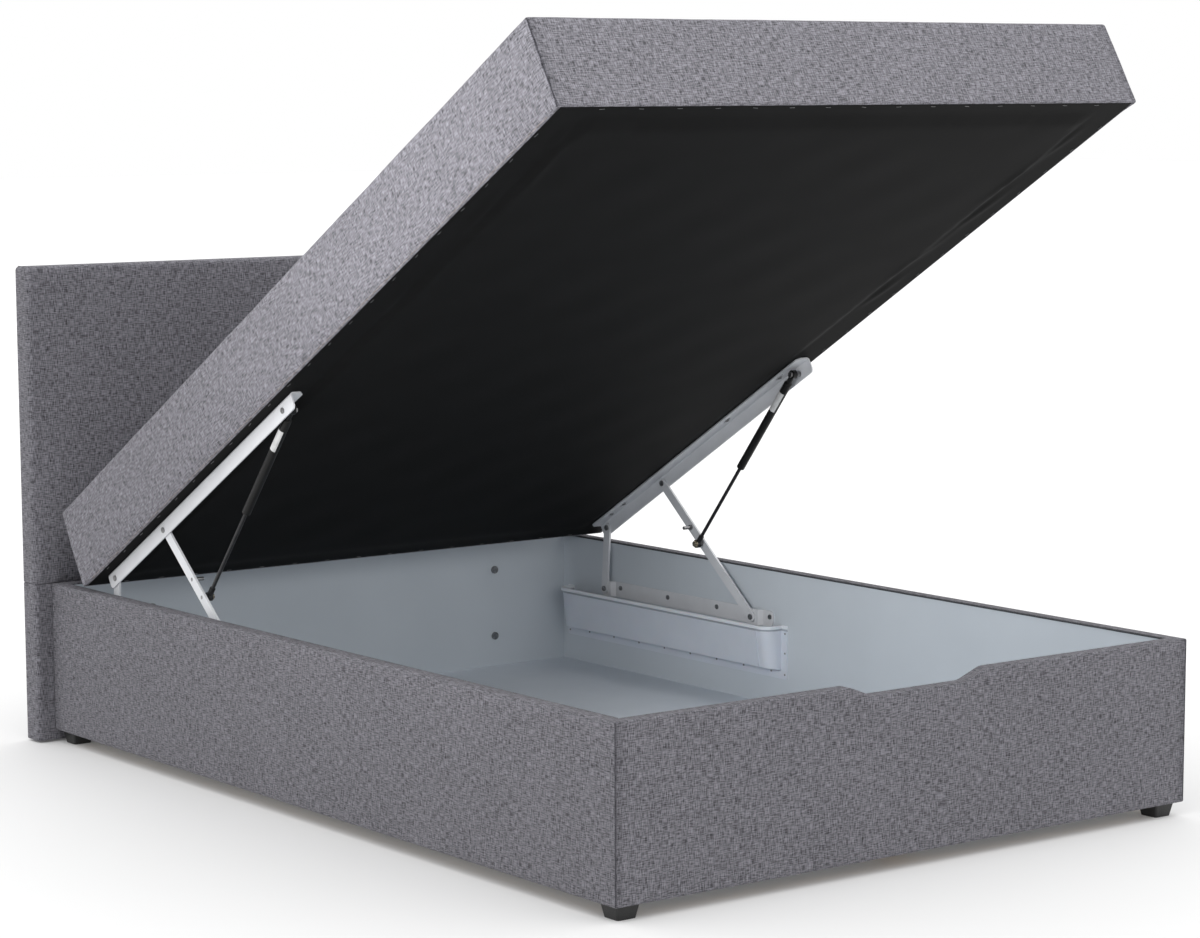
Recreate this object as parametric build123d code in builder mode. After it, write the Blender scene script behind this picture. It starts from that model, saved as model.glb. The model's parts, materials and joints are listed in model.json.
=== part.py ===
from build123d import *
import os
from math import acos, atan2, cos, degrees, hypot, radians, sin

os.makedirs("parts", exist_ok=True)

# Upholstered storage bed, 140 x 200: a box on low feet, a headboard, and a sprung platform
# that lifts at its foot end on a pair of four-bar hinges with gas springs.
# +X is across the bed, -Y is the foot end, +Y the headboard, +Z up.
# The origin lies on the floor under the middle of the whole bed, and the platform is drawn raised.

# Box
bed_width = 1400.0
base_length = 2030.0
foot_height = 28.0
wall_height = 324.0
board_thickness = 22.0
cover_thickness = 5.0
rim_cloth = 2.0
welt_width = 3.5
welt_height = 4.5
welt_drop = 0.5
welt_radius = 1.2
grip_half_top = 170.0
grip_half_bottom = 115.0
grip_depth = 21.0
grip_radius = 14.0

# Floor of the box
ledger_width = 22.0
ledger_height = 14.0
beam_width = 60.0
floor_thickness = 5.0
floor_gap = 0.5

# Feet
foot_top = 52.0
foot_bottom = 41.0
foot_corner = 5.0
foot_inset = 12.0
foot_sink_radius = 8.0
foot_sink_depth = 16.0

# Corner screws
corner_screw_radius = 3.5
corner_screw_length = 48.0
corner_screw_drop = 60.0
corner_screw_pitch = 190.0
corner_screw_count = 2

# Headboard
headboard_width = 1479.0
headboard_top = 1043.0
headboard_bottom = 4.0
headboard_thickness = 56.0
headboard_edge_cloth = 6.0
headboard_back_cloth = 3.0
headboard_front_cloth = 5.0
headboard_core_thickness = 28.0
headboard_radius = 11.0
headboard_crown = 3.0
headboard_bolt_x = 466.0
headboard_bolt_low = 120.0
headboard_bolt_high = 280.0
headboard_bolt_radius = 4.0
headboard_bolt_head_radius = 9.0
headboard_bolt_head = 4.0
headboard_bolt_grip = 18.0

# Lifting platform, measured along its length from its head end and up from its underside
platform_length = 2012.0
platform_thickness = 177.0
platform_tilt = 30.7
platform_crown = 6.0
platform_radius = 13.0
platform_rest_gap = 1.0
platform_head_gap = 18.0
hem_width = 45.0
hem_thickness = 1.5
dust_cloth_thickness = 1.0
dust_cloth_inset = 6.0
batten_width = 65.0
batten_thickness = 22.0
frame_board_thickness = 18.0
frame_board_height = 90.0
slat_width = 70.0
slat_thickness = 18.0
slat_count = 8
spring_row_width = 64.0
spring_row_gap = 8.0
spring_pocket_wall = 1.6
spring_row_chamfer = 12.0
spring_edge_gap = 7.0
felt_thickness = 5.0
foam_thickness = 18.0

# Lift linkage: pivots in the box, measured from the back of the box and up from the floor
pivot_height = 239.0
short_arm_from_back = 212.5
long_arm_from_back = 757.0
# Pivots on the platform rails
pivot_drop = 19.0
short_arm_along = 82.0
long_arm_along = 328.0
gas_spring_along = 887.0
# Studs on the long arm, from its lower pivot
gas_stud_reach = 229.5
spare_stud_reach = 280.0

# Lift hardware
steel = 3.0
arm_width = 22.0
arm_thickness = 5.0
arm_play = 0.5
washer_play = 0.3
pin_radius = 4.0
running_play = 0.05
rivet_head_radius = 6.5
rivet_head = 2.5
rivet_tail_radius = 6.0
rivet_tail = 2.0
ear_stand_off = 6.0
hinge_plate_height = 36.0
hinge_plate_radius = 14.0
joggle_run = 8.0
ear_margin = 18.0
foot_tab = 62.0
tab_screw_margin = 11.0
strip_screw_foot_margin = 111.0
strip_screw_head_margin = 20.0
strip_screw_count = 3
hinge_screw_rise = 4.5
nut_radius = 6.5
nut_height = 5.0
hinge_screw_radius = 2.5
hinge_screw_head_radius = 5.5
hinge_screw_head = 2.2
hinge_screw_depth = 13.0
rail_start = 56.0
rail_length = 874.0
rail_flange = 33.0
rail_drop = 34.0
rail_bend = 6.0
rail_end_cut = 9.0
slot_length = 26.0
slot_width = 6.0
rail_slot_places = [128.0, 183.0, 627.0, 839.0]

# Gas springs
spring_offset = 18.0
cylinder_radius = 9.0
cylinder_length = 262.0
cylinder_bore = 7.0
rod_radius = 4.0
guide_length = 14.0
eye_radius = 9.5
eye_thickness = 10.0
neck_radius = 6.0
neck_length = 15.0
cylinder_end_wall = 12.0
cylinder_shoulder = 2.0
piston_radius = 6.8
piston_length = 12.0
piston_stop = 3.0
collar_radius = 6.0
stud_split = 3.0
spare_stud_length = 27.0

# Guard trays round the lower hinge pivots
tray_depth = 48.0
tray_foot_margin = 89.0
tray_head_margin = 144.0
tray_rim = 229.0
tray_bottom = 128.0
tray_wall = 2.0
tray_radius = 26.0
tray_lip = 3.0
tray_lip_height = 7.0
tray_flange = 20.0
tray_panel_proud = 2.0
tray_panel_margin = 9.0
tray_front_slope = 12.0

# Levels and faces of the box
half_width = bed_width / 2
front = -(base_length + headboard_thickness) / 2
back = front + base_length
rim = foot_height + wall_height
board_top = rim - rim_cloth
board_outer = half_width - cover_thickness
board_inner = board_outer - board_thickness
front_outer = front + cover_thickness
front_inner = front_outer + board_thickness
back_outer = back - cover_thickness
back_inner = back_outer - board_thickness
floor_underside = foot_height + ledger_height
floor_top = floor_underside + floor_thickness
sides = {"left": -1, "right": 1}

# The linkage: the closed pose gives the link lengths, the tilt gives the raised pose
short_pivot = (back - short_arm_from_back, pivot_height)
long_pivot = (back - long_arm_from_back, pivot_height)
closed_corner = (back - platform_head_gap, rim + platform_rest_gap)


def platform_point(corner, tilt, along, height):
    """Side-view place of a platform point, for a given head corner and tilt."""
    angle = radians(tilt)
    return (
        corner[0] - along * cos(angle) + height * sin(angle),
        corner[1] + along * sin(angle) + height * cos(angle),
    )


def distance(a, b):
    return hypot(b[0] - a[0], b[1] - a[1])


def heading(a, b):
    return degrees(atan2(b[1] - a[1], b[0] - a[0]))


def circles_meet(a, reach_a, b, reach_b):
    """Where two circles cross, on the upper side of the line from a to b."""
    gap = distance(a, b)
    turn = acos((reach_a**2 + gap**2 - reach_b**2) / (2 * reach_a * gap))
    base = atan2(b[1] - a[1], b[0] - a[0])
    return (a[0] + reach_a * cos(base - turn), a[1] + reach_a * sin(base - turn))


short_arm_length = distance(
    short_pivot, platform_point(closed_corner, 0, short_arm_along, -pivot_drop)
)
long_arm_length = distance(
    long_pivot, platform_point(closed_corner, 0, long_arm_along, -pivot_drop)
)
short_shift = platform_point((0, 0), platform_tilt, short_arm_along, -pivot_drop)
long_shift = platform_point((0, 0), platform_tilt, long_arm_along, -pivot_drop)
corner = circles_meet(
    (short_pivot[0] - short_shift[0], short_pivot[1] - short_shift[1]),
    short_arm_length,
    (long_pivot[0] - long_shift[0], long_pivot[1] - long_shift[1]),
    long_arm_length,
)
short_joint = platform_point(corner, platform_tilt, short_arm_along, -pivot_drop)
long_joint = platform_point(corner, platform_tilt, long_arm_along, -pivot_drop)
gas_joint = platform_point(corner, platform_tilt, gas_spring_along, -pivot_drop)
long_heading = heading(long_pivot, long_joint)
short_heading = heading(short_pivot, short_joint)
gas_stud = (
    long_pivot[0] + gas_stud_reach * cos(radians(long_heading)),
    long_pivot[1] + gas_stud_reach * sin(radians(long_heading)),
)
gas_length = distance(gas_joint, gas_stud)
gas_heading = heading(gas_joint, gas_stud)

# Distances from the middle of the bed to the layers of the lift hardware
ear_outer = board_inner - steel - ear_stand_off
ear_inner = ear_outer - steel
arm_outer = ear_inner - arm_play
arm_inner = arm_outer - arm_thickness
spring_middle = ear_inner - spring_offset
eye_outer = spring_middle + eye_thickness / 2
eye_inner = spring_middle - eye_thickness / 2

stud_end = eye_outer + stud_split
tray_foot = long_pivot[0] - tray_foot_margin
tray_head = short_pivot[0] + tray_head_margin
tray_front = board_inner - tray_depth

# Directions of the raised platform
tilt_cos = cos(radians(platform_tilt))
tilt_sin = sin(radians(platform_tilt))
along_way = (0, -tilt_cos, tilt_sin)
up_way = (0, tilt_sin, tilt_cos)


def level(height):
    """Plane on the platform: x to the left, y from its head end, z up from its underside."""
    place = platform_point(corner, platform_tilt, 0, height)
    return Plane(
        origin=(0, place[0], place[1]), x_dir=(-1, 0, 0), z_dir=up_way
    )


def rail_section(along):
    """Plane across the platform: x to the right and y up from its underside."""
    place = platform_point(corner, platform_tilt, along, 0)
    return Plane(origin=(0, place[0], place[1]), x_dir=(1, 0, 0), z_dir=along_way)


def platform_side(side, near, far):
    """Plane in the platform's side view: x along it, y down; it starts the span near to far."""
    start = min(side * near, side * far)
    return Plane(origin=(start, corner[0], corner[1]), x_dir=along_way, z_dir=(1, 0, 0))


def box_side(side, near, far):
    """Plane in the box's side view, x to the back and y up; it starts the span near to far."""
    return Plane.YZ.offset(min(side * near, side * far))


def link_side(side, near, far, pivot, angle):
    """Plane in the side view of a link, with x along the link from its pivot."""
    start = min(side * near, side * far)
    direction = (0, cos(radians(angle)), sin(radians(angle)))
    return Plane(origin=(start, pivot[0], pivot[1]), x_dir=direction, z_dir=(1, 0, 0))


def block(x_span, y_span, z_span, plane=Plane.XY, mode=Mode.ADD):
    """A straight block between pairs of faces, added to the part being built."""
    with BuildSketch(plane.offset(z_span[0])) as base:
        with Locations(((x_span[0] + x_span[1]) / 2, (y_span[0] + y_span[1]) / 2)):
            Rectangle(x_span[1] - x_span[0], y_span[1] - y_span[0])
    extrude(base.sketch, amount=z_span[1] - z_span[0], mode=mode)


def disc(plane, place, radius, length, mode=Mode.ADD):
    """A round pin, head or hole on a side-view plane, added to the part being built."""
    with BuildSketch(plane) as base:
        with Locations(place):
            Circle(radius)
    extrude(base.sketch, amount=length, mode=mode)


def hexagon(plane, place, radius, length):
    """A hexagon nut on a side-view plane, added to the part being built."""
    with BuildSketch(plane) as base:
        with Locations(place):
            RegularPolygon(radius, 6)
    extrude(base.sketch, amount=length)


def signed(side, near, far):
    """The span between two distances from the middle, on one side of the bed."""
    return (min(side * near, side * far), max(side * near, side * far))


def evenly(first, last, count):
    """Places from the first to the last, at equal steps."""
    return [first + (last - first) * step / (count - 1) for step in range(count)]


def hinge_screw_row():
    """Side-view places of the screws that hold a hinge plate to its side board."""
    strip_foot = long_pivot[0] + ear_margin + joggle_run + strip_screw_foot_margin
    strip_head = short_pivot[0] - ear_margin - joggle_run - strip_screw_head_margin
    places = [long_pivot[0] - foot_tab + tab_screw_margin]
    places += evenly(strip_foot, strip_head, strip_screw_count)
    return [(place, pivot_height + hinge_screw_rise) for place in places]


corner_screw_heights = [
    board_top - corner_screw_drop - corner_screw_pitch * row for row in range(corner_screw_count)
]
board_middles = {
    "foot": (front_outer + front_inner) / 2,
    "head": (back_outer + back_inner) / 2,
}
headboard_bolt_places = [
    (side * headboard_bolt_x, height)
    for side in sides.values()
    for height in (headboard_bolt_low, headboard_bolt_high)
]
core_front = back + headboard_thickness - headboard_back_cloth - headboard_core_thickness
headboard_bolt_end = core_front + headboard_bolt_grip

hinge_screw_places = hinge_screw_row()
foot_x = half_width - foot_inset - foot_top / 2
foot_y_front = front + foot_inset + foot_top / 2
foot_y_back = back - foot_inset - foot_top / 2

# Side boards, drilled for the corner screws and the hinge screws
for side_name, side in sides.items():
    with BuildPart() as side_board:
        block(
            signed(side, board_inner, board_outer),
            (front_outer, back_outer),
            (foot_height, board_top),
        )
        for middle in board_middles.values():
            for height in corner_screw_heights:
                disc(
                    box_side(side, board_inner, board_outer),
                    (middle, height),
                    corner_screw_radius,
                    board_thickness,
                    Mode.SUBTRACT,
                )
        for place in hinge_screw_places:
            bore = box_side(side, board_inner, board_inner + hinge_screw_depth)
            disc(bore, place, hinge_screw_radius, hinge_screw_depth, Mode.SUBTRACT)
    side_board.part.label = f"side_board_{side_name}"
    export_step(side_board.part, f"parts/side_board_{side_name}.step")


def corner_screw_holes(middle):
    """Bores for the corner screws in the ends of the foot or head board."""
    bore_start = board_outer - corner_screw_length
    for side in sides.values():
        for height in corner_screw_heights:
            disc(
                box_side(side, bore_start, board_inner),
                (middle, height),
                corner_screw_radius,
                board_inner - bore_start,
                Mode.SUBTRACT,
            )


def foot_outline(level_z, bottom_z, half):
    """Face of the foot end seen from the front, with the grip cut-out in its top edge."""
    with BuildLine() as outline:
        Polyline(
            (-half, bottom_z),
            (half, bottom_z),
            (half, level_z),
            (grip_half_top, level_z),
            (grip_half_bottom, level_z - grip_depth),
            (-grip_half_bottom, level_z - grip_depth),
            (-grip_half_top, level_z),
            (-half, level_z),
            close=True,
        )
    make_face(outline.edges())


def grip_corners(sketch):
    """The four corners of the grip cut-out in a face of the foot end."""
    return sketch.vertices().filter_by(lambda v: abs(v.X) <= grip_half_top + grip_depth)


# Foot board with the grip cut-out
with BuildPart() as foot_board:
    with BuildSketch(Plane.XZ.offset(-front_inner)) as foot_face:
        foot_outline(board_top, foot_height, board_inner)
        fillet(grip_corners(foot_face), grip_radius)
    extrude(amount=board_thickness)
    corner_screw_holes(board_middles["foot"])
foot_board.part.label = "foot_board"
export_step(foot_board.part, "parts/foot_board.step")

# Head board, drilled for the headboard bolts
with BuildPart() as head_board:
    block((-board_inner, board_inner), (back_inner, back_outer), (foot_height, board_top))
    corner_screw_holes(board_middles["head"])
    with BuildSketch(Plane.XZ.offset(-back_outer)):
        with Locations(*headboard_bolt_places):
            Circle(headboard_bolt_radius)
    extrude(amount=board_thickness, mode=Mode.SUBTRACT)
head_board.part.label = "head_board"
export_step(head_board.part, "parts/head_board.step")

# Padded covers: a skin on the outer face, turned over the rim of the board
for side_name, side in sides.items():
    with BuildPart() as side_cover:
        block(signed(side, board_outer, half_width), (front, back), (foot_height, rim))
        block(
            signed(side, board_inner, board_outer), (front_outer, back_outer), (board_top, rim)
        )
        top_edge = side_cover.edges().filter_by(Axis.Y).group_by(Axis.Z)[-1].sort_by(Axis.X)
        fillet(top_edge[-1 if side > 0 else 0], rim_cloth)
    side_cover.part.label = f"side_cover_{side_name}"
    export_step(side_cover.part, f"parts/side_cover_{side_name}.step")

with BuildPart() as foot_cover:
    with BuildSketch(Plane.XZ.offset(-front_inner)) as foot_skin:
        foot_outline(rim, foot_height, board_outer)
        fillet(grip_corners(foot_skin), grip_radius)
    extrude(amount=board_thickness + cover_thickness)
    with BuildSketch(Plane.XZ.offset(-front_inner)) as foot_core:
        foot_outline(board_top, foot_height, board_inner)
        fillet(grip_corners(foot_core), grip_radius)
    extrude(amount=board_thickness, mode=Mode.SUBTRACT)
    for side in sides.values():
        block(
            signed(side, board_inner, board_outer),
            (front_outer, front_inner),
            (foot_height, rim),
            mode=Mode.SUBTRACT,
        )
foot_cover.part.label = "foot_cover"
export_step(foot_cover.part, "parts/foot_cover.step")

with BuildPart() as head_cover:
    block((-board_outer, board_outer), (back_outer, back), (foot_height, rim))
    block((-board_inner, board_inner), (back_inner, back_outer), (board_top, rim))
    with BuildSketch(Plane.XZ.offset(-back)):
        with Locations(*headboard_bolt_places):
            Circle(headboard_bolt_radius)
    extrude(amount=cover_thickness, mode=Mode.SUBTRACT)
head_cover.part.label = "head_cover"
export_step(head_cover.part, "parts/head_cover.step")

# Rim welts: a narrow edging along the inner top edge of each side board, beside its cover
for side_name, side in sides.items():
    with BuildPart() as rim_welt:
        block(
            signed(side, board_inner - welt_width, board_inner),
            (front_inner, back_inner),
            (rim - welt_height, rim - welt_drop),
        )
        long_edges = rim_welt.edges().filter_by(Axis.Y)
        fillet(long_edges.sort_by(lambda edge: side * edge.center().X)[:2], welt_radius)
    rim_welt.part.label = f"rim_welt_{side_name}"
    export_step(rim_welt.part, f"parts/rim_welt_{side_name}.step")

# Corner screws, sunk in the side boards and driven into the ends of the cross boards
with BuildPart() as corner_screws:
    for side in sides.values():
        for middle in board_middles.values():
            for height in corner_screw_heights:
                disc(
                    box_side(side, board_outer - corner_screw_length, board_outer),
                    (middle, height),
                    corner_screw_radius,
                    corner_screw_length,
                )
corner_screws.part.label = "corner_screws"
export_step(corner_screws.part, "parts/corner_screws.step")

# Floor ledgers round the foot of the boards
middle_y = (front_inner + back_inner) / 2
ledger_heights = (foot_height, floor_underside)
for side_name, side in sides.items():
    with BuildPart() as side_ledger:
        block(
            signed(side, board_inner - ledger_width, board_inner),
            (front_inner, back_inner),
            ledger_heights,
        )
    side_ledger.part.label = f"floor_ledger_{side_name}"
    export_step(side_ledger.part, f"parts/floor_ledger_{side_name}.step")

ledger_end_x = board_inner - ledger_width
with BuildPart() as foot_ledger:
    block(
        (-ledger_end_x, ledger_end_x), (front_inner, front_inner + ledger_width), ledger_heights
    )
foot_ledger.part.label = "floor_ledger_foot"
export_step(foot_ledger.part, "parts/floor_ledger_foot.step")

with BuildPart() as head_ledger:
    block((-ledger_end_x, ledger_end_x), (back_inner - ledger_width, back_inner), ledger_heights)
head_ledger.part.label = "floor_ledger_head"
export_step(head_ledger.part, "parts/floor_ledger_head.step")

# Beam under the middle of the floor
with BuildPart() as floor_beam:
    block(
        (-beam_width / 2, beam_width / 2),
        (front_inner + ledger_width, back_inner - ledger_width),
        ledger_heights,
    )
floor_beam.part.label = "floor_beam"
export_step(floor_beam.part, "parts/floor_beam.step")

# Two floor panels that meet halfway
floor_spans = {
    "foot": (front_inner, middle_y - floor_gap / 2),
    "head": (middle_y + floor_gap / 2, back_inner),
}
for end_name, span in floor_spans.items():
    with BuildPart() as floor_panel:
        block((-board_inner, board_inner), span, (floor_underside, floor_top))
    floor_panel.part.label = f"floor_panel_{end_name}"
    export_step(floor_panel.part, f"parts/floor_panel_{end_name}.step")

# Tapered feet, one at each corner and one under the beam, each sunk for its screw
foot_places = {
    "front_left": (-foot_x, foot_y_front),
    "front_right": (foot_x, foot_y_front),
    "back_left": (-foot_x, foot_y_back),
    "back_right": (foot_x, foot_y_back),
    "middle": (0, middle_y),
}
for foot_name, place in foot_places.items():
    with BuildPart() as foot:
        with BuildSketch():
            with Locations(place):
                RectangleRounded(foot_bottom, foot_bottom, foot_corner)
        with BuildSketch(Plane.XY.offset(foot_height)):
            with Locations(place):
                RectangleRounded(foot_top, foot_top, foot_corner)
        loft()
        disc(Plane.XY, place, foot_sink_radius, foot_sink_depth, Mode.SUBTRACT)
    foot.part.label = f"foot_{foot_name}"
    export_step(foot.part, f"parts/foot_{foot_name}.step")

# Headboard core
headboard_half = headboard_width / 2
core_half = headboard_half - headboard_edge_cloth
core_back = back + headboard_thickness - headboard_back_cloth
foam_front = back + headboard_front_cloth
core_heights = (headboard_bottom + headboard_edge_cloth, headboard_top - headboard_edge_cloth)


def headboard_bores(plane, length):
    """Bores for the headboard bolts, from a plane that looks to the foot end."""
    with BuildSketch(plane) as bores:
        with Locations(*headboard_bolt_places):
            Circle(headboard_bolt_radius)
    extrude(bores.sketch, amount=length, mode=Mode.SUBTRACT)


with BuildPart() as headboard_core:
    block((-core_half, core_half), (core_front, core_back), core_heights)
    headboard_bores(Plane.XZ.offset(-headboard_bolt_end), headboard_bolt_grip)
headboard_core.part.label = "headboard_core"
export_step(headboard_core.part, "parts/headboard_core.step")

# Foam on the front of the core
with BuildPart() as headboard_foam:
    block((-core_half, core_half), (foam_front, core_front), core_heights)
    headboard_bores(Plane.XZ.offset(-core_front), core_front - foam_front)
headboard_foam.part.label = "headboard_foam"
export_step(headboard_foam.part, "parts/headboard_foam.step")

# Headboard cover above the seam, gently crowned, and its plain lower part behind the box
with BuildPart() as headboard_cover_upper:
    with BuildSketch(Plane.XY.offset(rim)):
        with BuildLine():
            Polyline(
                (-headboard_half, back),
                (-headboard_half, back + headboard_thickness),
                (headboard_half, back + headboard_thickness),
                (headboard_half, back),
            )
            ThreePointArc(
                (headboard_half, back), (0, back - headboard_crown), (-headboard_half, back)
            )
        make_face()
    extrude(amount=headboard_top - rim)
    upper_corners = headboard_cover_upper.edges().filter_by(Axis.Z).group_by(Axis.Y)[0]
    fillet(upper_corners, headboard_radius)
    fillet(headboard_cover_upper.faces().sort_by(Axis.Z)[-1].edges(), headboard_edge_cloth)
    block(
        (-core_half, core_half), (foam_front, core_back), (rim, core_heights[1]), mode=Mode.SUBTRACT
    )
headboard_cover_upper.part.label = "headboard_cover_upper"
export_step(headboard_cover_upper.part, "parts/headboard_cover_upper.step")

with BuildPart() as headboard_cover_lower:
    block(
        (-headboard_half, headboard_half),
        (back, back + headboard_thickness),
        (headboard_bottom, rim),
    )
    lower_corners = headboard_cover_lower.edges().filter_by(Axis.Z).group_by(Axis.Y)[0]
    fillet(lower_corners, headboard_radius)
    block(
        (-core_half, core_half), (foam_front, core_back), (core_heights[0], rim), mode=Mode.SUBTRACT
    )
    headboard_bores(Plane.XZ.offset(-foam_front), headboard_front_cloth)
headboard_cover_lower.part.label = "headboard_cover_lower"
export_step(headboard_cover_lower.part, "parts/headboard_cover_lower.step")

# Bolts that hold the headboard, with their heads inside the box
with BuildPart() as headboard_bolts:
    with BuildSketch(Plane.XZ.offset(-back_inner)):
        with Locations(*headboard_bolt_places):
            Circle(headboard_bolt_head_radius)
    extrude(amount=headboard_bolt_head)
    with BuildSketch(Plane.XZ.offset(-headboard_bolt_end)):
        with Locations(*headboard_bolt_places):
            Circle(headboard_bolt_radius)
    extrude(amount=headboard_bolt_end - back_inner)
headboard_bolts.part.label = "headboard_bolts"
export_step(headboard_bolts.part, "parts/headboard_bolts.step")

# Hinge plates: one strip on the side board, joggled out to an ear at each pivot
for side_name, side in sides.items():
    on_board = side * (board_inner - steel / 2)
    on_ear = side * (ear_outer - steel / 2)
    with BuildPart() as hinge_plate:
        with BuildSketch(Plane.XY.offset(pivot_height - hinge_plate_height / 2)):
            with BuildLine() as strip_line:
                Polyline(
                    (on_board, long_pivot[0] - foot_tab),
                    (on_board, long_pivot[0] - ear_margin - joggle_run),
                    (on_ear, long_pivot[0] - ear_margin),
                    (on_ear, long_pivot[0] + ear_margin),
                    (on_board, long_pivot[0] + ear_margin + joggle_run),
                    (on_board, short_pivot[0] - ear_margin - joggle_run),
                    (on_ear, short_pivot[0] - ear_margin),
                    (on_ear, short_pivot[0] + ear_margin),
                )
            trace(line_width=steel)
        extrude(amount=hinge_plate_height)
        across = hinge_plate.edges().filter_by(Axis.X).group_by(Axis.Y)
        fillet(across[0] + across[-1], hinge_plate_radius)
        for pivot in (long_pivot, short_pivot):
            plane = box_side(side, ear_inner, ear_outer)
            disc(plane, pivot, pin_radius, steel, Mode.SUBTRACT)
        for place in hinge_screw_places:
            plane = box_side(side, board_inner - steel, board_inner)
            disc(plane, place, hinge_screw_radius, steel, Mode.SUBTRACT)
    hinge_plate.part.label = f"hinge_plate_{side_name}"
    export_step(hinge_plate.part, f"parts/hinge_plate_{side_name}.step")

# Screws of the hinge plates
with BuildPart() as hinge_screws:
    for side in sides.values():
        face = board_inner - steel
        for place in hinge_screw_places:
            head_plane = box_side(side, face - hinge_screw_head, face)
            disc(head_plane, place, hinge_screw_head_radius, hinge_screw_head)
            shank_plane = box_side(side, face, board_inner + hinge_screw_depth)
            disc(shank_plane, place, hinge_screw_radius, steel + hinge_screw_depth)
hinge_screws.part.label = "hinge_screws"
export_step(hinge_screws.part, "parts/hinge_screws.step")

# Lower pivots: a bolt through the long arm, and a stub that faces the pin of the short arm
head_face = arm_inner - washer_play
for side_name, side in sides.items():
    with BuildPart() as hinge_bolts:
        head_plane = box_side(side, head_face - rivet_head, head_face)
        disc(head_plane, long_pivot, rivet_head_radius, rivet_head)
        disc(
            box_side(side, head_face, ear_outer), long_pivot, pin_radius, ear_outer - head_face
        )
        disc(box_side(side, ear_inner, ear_outer), short_pivot, pin_radius, steel)
        for pivot in (long_pivot, short_pivot):
            nut_plane = box_side(side, ear_outer, ear_outer + nut_height)
            hexagon(nut_plane, pivot, nut_radius, nut_height)
    hinge_bolts.part.label = f"hinge_bolts_{side_name}"
    export_step(hinge_bolts.part, f"parts/hinge_bolts_{side_name}.step")


def tray_trough(side, wall):
    """The trough of a guard tray as a solid, or its inside when a wall is given."""
    with BuildPart() as trough:
        with BuildSketch(Plane.XZ.offset(wall - tray_head)):
            with BuildLine():
                Polyline(
                    (side * board_inner, tray_rim),
                    (side * (tray_front + wall), tray_rim),
                    (
                        side * (tray_front + tray_front_slope + wall),
                        tray_bottom + tray_front_slope / 2 + wall,
                    ),
                    (side * board_inner, tray_bottom + wall),
                    close=True,
                )
            make_face()
        extrude(amount=tray_head - tray_foot - 2 * wall)
        upright = trough.edges().filter_by(
            lambda edge: edge.bounding_box().size.Z > (tray_rim - tray_bottom) / 2
        )
        inboard = upright.sort_by(lambda edge: side * edge.center().X)[:2]
        fillet(inboard, tray_radius - wall)
    return trough.part


# Guard trays: a thin formed trough round the lower pivots, with flanges tacked to the board
tray_panel_foot = tray_foot + tray_radius + tray_panel_margin
tray_panel_head = tray_head - tray_radius - tray_panel_margin
for side_name, side in sides.items():
    tray_solid = tray_trough(side, 0)
    tray_inside = tray_trough(side, tray_wall)
    with BuildPart() as tray_panel:
        add(tray_trough(side, -tray_panel_proud))
        block(
            signed(side, tray_front - tray_panel_proud, tray_front + tray_radius),
            (tray_panel_foot, tray_panel_head),
            (tray_bottom + tray_panel_margin, tray_rim - tray_panel_margin),
            mode=Mode.INTERSECT,
        )
    with BuildPart() as guard_tray:
        add(tray_solid)
        block(
            signed(side, board_inner - tray_wall, board_inner),
            (tray_foot - tray_flange, tray_head + tray_flange),
            (tray_bottom - tray_flange, tray_rim),
        )
        with BuildSketch(Plane.XY.offset(tray_rim - tray_lip_height)) as lip:
            lip_middle = side * (tray_front - tray_lip + board_inner) / 2
            with Locations((lip_middle, (tray_foot + tray_head) / 2)):
                Rectangle(tray_depth + tray_lip, tray_head - tray_foot + 2 * tray_lip)
            inboard_corners = lip.vertices().sort_by(lambda corner: side * corner.X)[:2]
            fillet(inboard_corners, tray_radius + tray_lip)
        extrude(amount=tray_lip_height)
        add(tray_panel.part)
        add(tray_inside, mode=Mode.SUBTRACT)
    guard_tray.part.label = f"guard_tray_{side_name}"
    export_step(guard_tray.part, f"parts/guard_tray_{side_name}.step")

# Long arms, with a hole at each pivot and at each stud
stud_reaches = (gas_stud_reach, spare_stud_reach)
running_radius = pin_radius + running_play
for side_name, side in sides.items():
    arm_plane = link_side(side, arm_inner, arm_outer, long_pivot, long_heading)
    with BuildPart() as long_arm:
        with BuildSketch(arm_plane):
            with Locations((long_arm_length / 2, 0)):
                SlotCenterToCenter(long_arm_length, arm_width)
            with Locations((0, 0), (long_arm_length, 0)):
                Circle(running_radius, mode=Mode.SUBTRACT)
            with Locations(*[(reach, 0) for reach in stud_reaches]):
                Circle(pin_radius, mode=Mode.SUBTRACT)
        extrude(amount=arm_thickness)
    long_arm.part.label = f"long_arm_{side_name}"
    export_step(long_arm.part, f"parts/long_arm_{side_name}.step")

# Studs of the long arms: one for the gas spring, and a spare one with its nut
for side_name, side in sides.items():
    with BuildPart() as arm_studs:
        stud_ends = dict(zip(stud_reaches, (stud_end, arm_outer - spare_stud_length)))
        for reach, inner_end in stud_ends.items():
            shank = link_side(side, inner_end, arm_outer, long_pivot, long_heading)
            disc(shank, (reach, 0), pin_radius, arm_outer - inner_end)
        collar = link_side(side, stud_end, arm_inner, long_pivot, long_heading)
        disc(collar, (gas_stud_reach, 0), collar_radius, arm_inner - stud_end)
        nut = link_side(side, arm_inner - nut_height, arm_inner, long_pivot, long_heading)
        hexagon(nut, (spare_stud_reach, 0), nut_radius, nut_height)
    arm_studs.part.label = f"arm_studs_{side_name}"
    export_step(arm_studs.part, f"parts/arm_studs_{side_name}.step")

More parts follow.
